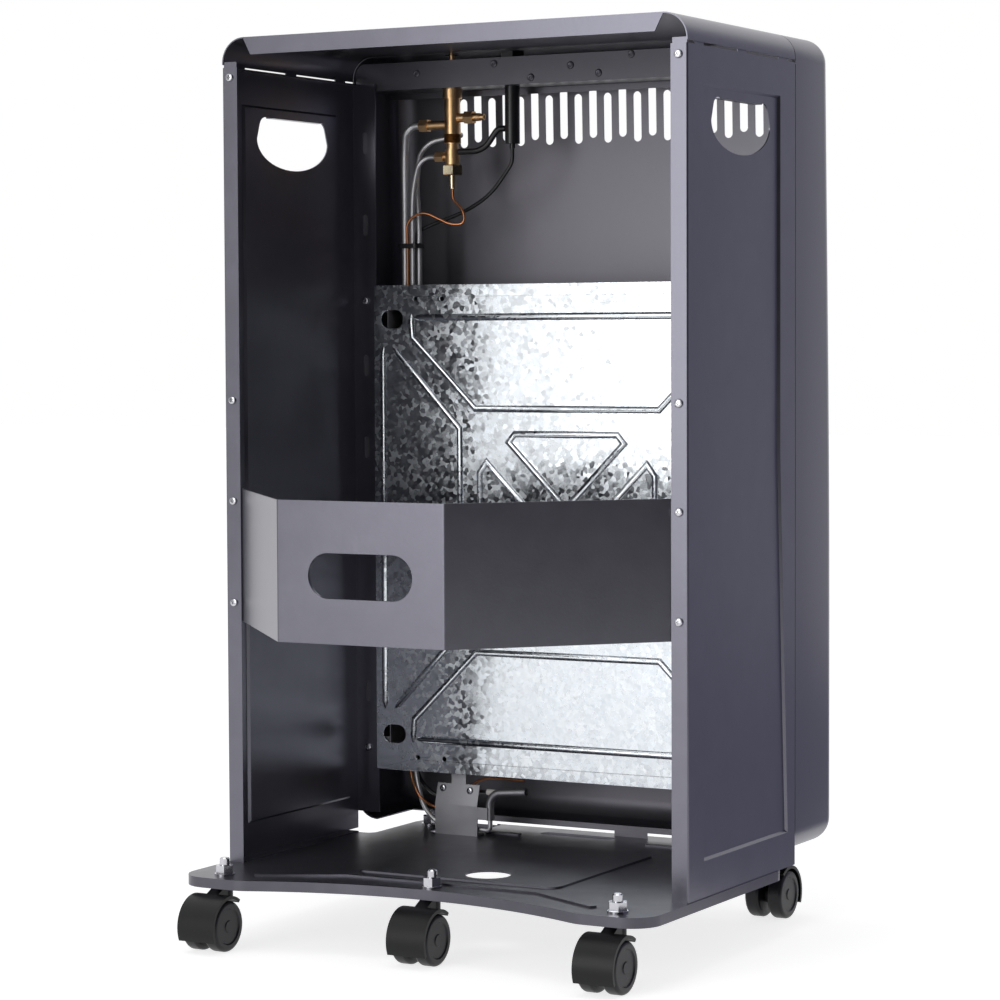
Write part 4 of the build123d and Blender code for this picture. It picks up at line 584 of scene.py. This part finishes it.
# %% [markdown]
# ## Dressing the CAD pieces
# Every CAD node keeps its shape and gets its finish. Its triangles are loose, so a Weld modifier
# joins them. An Edge Split modifier then keeps folds crisp while round parts shade smoothly. The
# large sheets get a fine Bevel instead, because a real fold catches a thin line of light, and a
# Weighted Normal modifier keeps their flat faces flat.

# %% Choose a finish for each slot and node
finish_of_slot = {
    "cabinet_paint": cabinet_paint,
    "galvanised": zinc,
    "plain_steel": bare_steel,
    "plaque_ceramic": ceramic,
    "chrome_wire": chrome_wire,
    "brass": brass,
    "tube_alloy": tube_alloy,
    "copper": copper,
    "black_lead": black_sleeve,
    "black_plastic": black_plastic,
    "zinc_screw": bright_zinc,
    "castor_plastic": castor_plastic,
    "insulator": glazed,
}
slot_of_node = {entry["node"]: entry["material_slot"] for entry in frame["record"]["subparts"]}
finish_of_node = {name: disc_plastic for name in nodes if name.startswith("wheel_")}
finish_of_node.update(
    base_tray=tray_paint,
    front_fascia=casing_paint,
    control_rail=rail_paint,
    magnet_unit=polished_brass,
)
print("finishes for", len(finish_of_slot), "slots and", len(finish_of_node), "single nodes")

# %% Give each node its finish
# how wide the edges of the large sheets are rounded
edge_widths = {
    "side_panel_right": 0.25 * millimetre,
    "side_panel_left": 0.25 * millimetre,
    "bottle_strap": 0.25 * millimetre,
    "base_tray": 0.2 * millimetre,
    "heat_shield": 0.35 * millimetre,
}
weld_distance = 0.02 * millimetre
corner_angle = 30


def smooth_rounds(piece, fold_angle=28, edge_width=0.0):
    """Weld the triangles, then split the folds, or bevel them where a width is given."""
    piece.data.polygons.foreach_set("use_smooth", [True] * len(piece.data.polygons))
    weld = piece.modifiers.new("join_triangles", "WELD")
    weld.merge_threshold = weld_distance
    if edge_width:
        rounding = piece.modifiers.new("soften_edges", "BEVEL")
        rounding.width = edge_width
        rounding.segments = 2
        rounding.limit_method = "ANGLE"
        rounding.angle_limit = radians(corner_angle)
        even = piece.modifiers.new("keep_flats_flat", "WEIGHTED_NORMAL")
        even.weight = 100
    else:
        split = piece.modifiers.new("keep_folds", "EDGE_SPLIT")
        split.split_angle = radians(fold_angle)


for name, node in nodes.items():
    node.data.materials.clear()
    node.data.materials.append(finish_of_node.get(name, finish_of_slot[slot_of_node[name]]))
    smooth_rounds(node, edge_width=edge_widths.get(name, 0.0))
print("dressed", len(nodes), "nodes from", len(set(slot_of_node.values())), "slots")

# %% [markdown]
# ## Cross-head screws
# The panels are held by small pan-head screws with a cross recess. In the CAD model they are
# plain discs on a shank. The discs tell where each screw sits: the loose triangles are joined,
# and every island of joined faces is one screw. A finer screw is then made once, with the cross
# cut into its face by planes and pressed down, and copied to every place.

# %% Find each screw in the CAD node
def islands(node):
    """The lowest and highest corner of each separate piece of a node, in a fixed order."""
    form = bmesh.new()
    form.from_mesh(node.data)
    bmesh.ops.remove_doubles(form, verts=form.verts, dist=0.01 * millimetre)
    waiting = set(form.verts)
    boxes = []
    while waiting:
        frontier = [waiting.pop()]
        island = list(frontier)
        while frontier:
            here = frontier.pop()
            near = [edge.other_vert(here) for edge in here.link_edges]
            fresh = [vert for vert in near if vert in waiting]
            waiting.difference_update(fresh)
            frontier += fresh
            island += fresh
        low = [min(vert.co[axis] for vert in island) for axis in range(3)]
        high = [max(vert.co[axis] for vert in island) for axis in range(3)]
        boxes.append((low, high))
    form.free()
    return sorted(boxes)


screw_boxes = islands(nodes["cabinet_screws"])
print("found", len(screw_boxes), "screws")


# %% Shape one screw, standing on its tip along z
def draw_ring(form, rim, radius, height):
    """Extrude the round rim to a new radius and height; returns the new rim."""
    grown = bmesh.ops.extrude_edge_only(form, edges=rim)["geom"]
    verts = verts_in(grown)
    reach = Vector(verts[0].co[:2]).length
    bmesh.ops.scale(form, verts=verts, vec=(radius / reach, radius / reach, 1))
    for vert in verts:
        vert.co.z = height
    return [item for item in grown if isinstance(item, bmesh.types.BMEdge)]


def cross_head_screw(head_radius, head_height, shank_radius, shank_length):
    """A pan-head screw whose head stands on z = 0 and whose shank points down."""
    flat_radius = 0.62 * head_radius
    slot_half = 0.11 * head_radius
    slot_reach = 0.46 * head_radius
    slot_depth = 0.55 * head_height
    slot_taper = 0.8
    form = bmesh.new()
    bmesh.ops.create_circle(form, cap_ends=True, segments=24, radius=flat_radius)
    for along in (Vector((1, 0, 0)), Vector((0, 1, 0))):
        for offset in (-slot_reach, -slot_half, slot_half, slot_reach):
            everything = form.verts[:] + form.edges[:] + form.faces[:]
            bmesh.ops.bisect_plane(
                form, geom=everything, plane_co=along * offset, plane_no=along
            )
    rim = [edge for edge in form.edges if edge.is_boundary]
    cross = []
    for face in form.faces:
        spot = face.calc_center_median()
        near, far = sorted((abs(spot.x), abs(spot.y)))
        if near < slot_half and far < slot_reach:
            cross.append(face)
    bmesh.ops.translate(form, verts=form.verts, vec=(0, 0, head_height))
    sunk = verts_in(bmesh.ops.extrude_face_region(form, geom=cross)["geom"])
    bmesh.ops.translate(form, verts=sunk, vec=(0, 0, -slot_depth))
    bmesh.ops.scale(form, verts=sunk, vec=(slot_taper, slot_taper, 1))
    bmesh.ops.delete(form, geom=cross, context="FACES")
    for radius, level in (
        (0.84 * head_radius, 0.86 * head_height),
        (0.97 * head_radius, 0.5 * head_height),
        (head_radius, 0.0),
        (shank_radius, 0.0),
        (shank_radius, -0.75 * shank_length),
        (0.15 * shank_radius, -shank_length),
    ):
        rim = draw_ring(form, rim, radius, level)
    bmesh.ops.contextual_create(form, geom=rim)
    bmesh.ops.recalc_face_normals(form, faces=form.faces)
    return form


cabinet_screw = cross_head_screw(
    head_radius=3.4 * millimetre,
    head_height=2.2 * millimetre,
    shank_radius=1.9 * millimetre,
    shank_length=8 * millimetre,
)
print("a screw has", len(cabinet_screw.faces), "faces")


# %% Copy the screw to every place
def copied(form, places, turns):
    """A form with a copy at every place, turned about its own axis and laid over along y."""
    pattern = bpy.data.meshes.new("pattern")
    form.to_mesh(pattern)
    form.free()
    lay_over = Matrix.Rotation(radians(-90), 4, "X")
    whole = bmesh.new()
    for place, turn in zip(places, turns):
        start = len(whole.verts)
        whole.from_mesh(pattern)
        whole.verts.ensure_lookup_table()
        spin = lay_over @ Matrix.Rotation(turn, 4, "Z")
        bmesh.ops.transform(
            whole, matrix=Matrix.Translation(place) @ spin, verts=whole.verts[start:]
        )
    bpy.data.meshes.remove(pattern)
    return whole


def add_piece(form, name, material, fold_angle=28):
    """A piece of the cabinet made from a form, with its round faces smoothed."""
    piece = object_from(form, name, material)
    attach(piece, "cabinet")
    smooth_rounds(piece, fold_angle)
    print(name, "has", len(piece.data.polygons), "faces")
    return piece


cad_head_height = 2.4 * millimetre
screw_places = [
    ((low[0] + high[0]) / 2, high[1] - cad_head_height, (low[2] + high[2]) / 2)
    for low, high in screw_boxes
]
screw_turns = [0.7 * index for index in range(len(screw_places))]
screws = add_piece(
    copied(cabinet_screw, screw_places, screw_turns), "cross_head_screws", bright_zinc
)
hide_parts("cabinet_screws")

# %% [markdown]
# ## Rivets of the control rail and screws of the pilot
# The rail above the shield carries the valve and the igniter. Blind rivets hold it, and their
# heads are painted with the rail. Each head is a spun dome: a short profile of a few points is
# turned round its axis, which is the natural way to make a round part. The rail's rear face
# gives the depth, so that the rivets sit on it from every side.

# %% Spin a rivet head and set the rivets
def spun(profile, steps):
    """A round form: a profile of (radius, height) in millimetres, turned about z."""
    form = bmesh.new()
    verts = [
        form.verts.new((radius * millimetre, 0, height * millimetre)) for radius, height in profile
    ]
    edges = [form.edges.new(pair) for pair in zip(verts, verts[1:])]
    bmesh.ops.spin(
        form,
        geom=verts + edges,
        cent=(0, 0, 0),
        axis=(0, 0, 1),
        angle=2 * pi,
        steps=steps,
        use_merge=True,
        use_duplicate=False,
    )
    bmesh.ops.remove_doubles(form, verts=form.verts, dist=0.001 * millimetre)
    bmesh.ops.recalc_face_normals(form, faces=form.faces)
    return form


rivet_profile = [(0, 0.7), (0.9, 0.7), (1.1, 1.3), (2.0, 1.4), (2.9, 0.9), (3.3, 0), (0, 0)]
# millimetres across from the cabinet's middle, and above the tray, on which the nuts stand
rivets_on_rail = [(68, 652), (-4, 647.5), (-60, 654), (33, 639), (-30, 640), (143, 647)]
tray_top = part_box("castor_nuts")[0].z
rail_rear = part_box("control_rail")[1].y
rivet_places = [
    (sideways * millimetre, rail_rear, tray_top + rise * millimetre)
    for sideways, rise in rivets_on_rail
]
rivet_turns = [0] * len(rivet_places)
rivets = copied(spun(rivet_profile, steps=20), rivet_places, rivet_turns)
add_piece(rivets, "rail_rivets", rail_paint)

# %% Screw the pilot's plate to its tongue
pilot_screw = cross_head_screw(
    head_radius=3.0 * millimetre,
    head_height=1.9 * millimetre,
    shank_radius=1.5 * millimetre,
    shank_length=3.5 * millimetre,
)
pilot_places = [(0.1239, -0.1289, 0.0960), (0.0976, -0.1289, 0.0951)]
pilot_turns = [0.4, 1.1]
pilot_screws = copied(pilot_screw, pilot_places, pilot_turns)
add_piece(pilot_screws, "pilot_screws", bright_zinc)

# %% [markdown]
# ## Thread on the valve
# Half way down, the valve's body has a short dark thread. A zigzag profile is spun round the
# valve's axis, which is the magnet unit's as well. Each tooth becomes one ring, which at this
# size can't be told from a real helix.

# %% Spin the thread and put it on the valve
# the profile is in millimetres, as spun takes it
tooth_count = 6
tooth_pitch = 1.25
inner_radius = 6.4
root_radius = 6.9
tip_radius = 7.5
thread_rise = 18.5 * millimetre

thread_profile = [(inner_radius, 0.0)]
for tooth in range(tooth_count):
    thread_profile.append((root_radius, tooth * tooth_pitch))
    thread_profile.append((tip_radius, (tooth + 0.5) * tooth_pitch))
thread_profile.append((root_radius, tooth_count * tooth_pitch))
thread_profile.append((inner_radius, tooth_count * tooth_pitch))
thread = spun(thread_profile, steps=32)
unit_low, unit_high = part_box("magnet_unit")
unit_middle = (unit_low + unit_high) / 2
thread_foot = (unit_middle.x, unit_middle.y, unit_high.z + thread_rise)
bmesh.ops.translate(thread, verts=thread.verts, vec=thread_foot)
add_piece(thread, "valve_thread", dark_brass, fold_angle=50)

# %% [markdown]
# ## Rounded beads on the heat shield
# The press leaves beads with a round back, which catch the light as one soft line. The CAD model
# has them as flat ridges. A curve with a round bevel follows each ridge and is sunk into the
# sheet until only its back stands out, a little higher than the ridge. At its ends the curve's
# radius shrinks, so the bead fades into the sheet. A plane then cuts off what lies behind.

# %% Say where the beads run
# Points are in millimetres across and up from the shield's middle, in one quarter of it. A
# negative value across is counted from the shield's edge.
quarter_routes = [
    [(0, 180), (-46, 180)],
    [(-37, 177), (-38, 163), (86, 103), (0, 103)],
    [(-23, 150), (101, 86), (101, 0)],
    [(-9, 149), (-9, 0)],
    [(0, 82), (48, 82), (54, 75), (0, 21)],
]
half_loop = [(17, 0), (75, 58), (82, 49), (82, -49), (75, -58)]
fade_length = 7.0
shield_low, shield_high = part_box("heat_shield")
half_width = (shield_high.x - shield_low.x) / 2 / millimetre


def from_middle(route):
    """The route with every point counted from the shield's middle."""
    return [(across if across >= 0 else half_width + across, rise) for across, rise in route]


def drawn_out(route):
    """The route with a further point beyond each end, where the bead fades."""
    first, last = Vector(route[0]), Vector(route[-1])
    before = first + (first - Vector(route[1])).normalized() * fade_length
    after = last + (last - Vector(route[-2])).normalized() * fade_length
    return [before, *map(Vector, route), after]


print("the shield reaches", round(half_width, 1), "mm to each side")

# %% Lay round beads over the ridges
ridge_height = 1.6 * millimetre
shield_face = shield_high.y - ridge_height
shield_middle = (shield_high.z + shield_low.z) / 2
bead_radius = 3.4 * millimetre
bead_sunk = 1.4 * millimetre
# the share of its radius at which a bead's end lies just under the sheet
faded = 0.9 * bead_sunk / bead_radius

bead_curve = bpy.data.curves.new("bead_routes", "CURVE")
bead_curve.dimensions = "3D"
bead_curve.bevel_depth = bead_radius
bead_curve.bevel_resolution = 5
bead_curve.use_fill_caps = True


def lay_bead(points, flip_x, flip_z):
    """Add one bead to the curve, mirrored about the shield's centre."""
    line = bead_curve.splines.new("POLY")
    line.points.add(len(points) - 1)
    for point, (across, rise) in zip(line.points, points):
        place = Vector((flip_x * across, 0, flip_z * rise)) * millimetre
        place += Vector((0, shield_face - bead_sunk, shield_middle))
        point.co = (*place, 1)
    return line


for route in quarter_routes:
    points = drawn_out(from_middle(route))
    for flip_x in (-1, 1):
        for flip_z in (-1, 1):
            bead = lay_bead(points, flip_x, flip_z)
            bead.points[0].radius = faded
            bead.points[-1].radius = faded
for flip_x in (-1, 1):
    lay_bead(half_loop, flip_x, 1).use_cyclic_u = True
print("laid", len(bead_curve.splines), "beads")

# %% Cut the beads off at the sheet
cut_depth = 0.1 * millimetre
bead_holder = bpy.data.objects.new("bead_routes", bead_curve)
scene.collection.objects.link(bead_holder)
bead_mesh = bpy.data.meshes.new_from_object(
    bead_holder.evaluated_get(bpy.context.evaluated_depsgraph_get())
)
bpy.data.objects.remove(bead_holder)
beads = bmesh.new()
beads.from_mesh(bead_mesh)
bpy.data.meshes.remove(bead_mesh)
bmesh.ops.remove_doubles(beads, verts=beads.verts, dist=0.001 * millimetre)
bmesh.ops.bisect_plane(
    beads,
    geom=beads.verts[:] + beads.edges[:] + beads.faces[:],
    plane_co=(0, shield_face - cut_depth, 0),
    plane_no=(0, 1, 0),
    clear_inner=True,
)
open_edges = [edge for edge in beads.edges if edge.is_boundary]
bmesh.ops.holes_fill(beads, edges=open_edges, sides=0)
bmesh.ops.recalc_face_normals(beads, faces=beads.faces)
add_piece(beads, "pressed_beads", zinc, fold_angle=50)
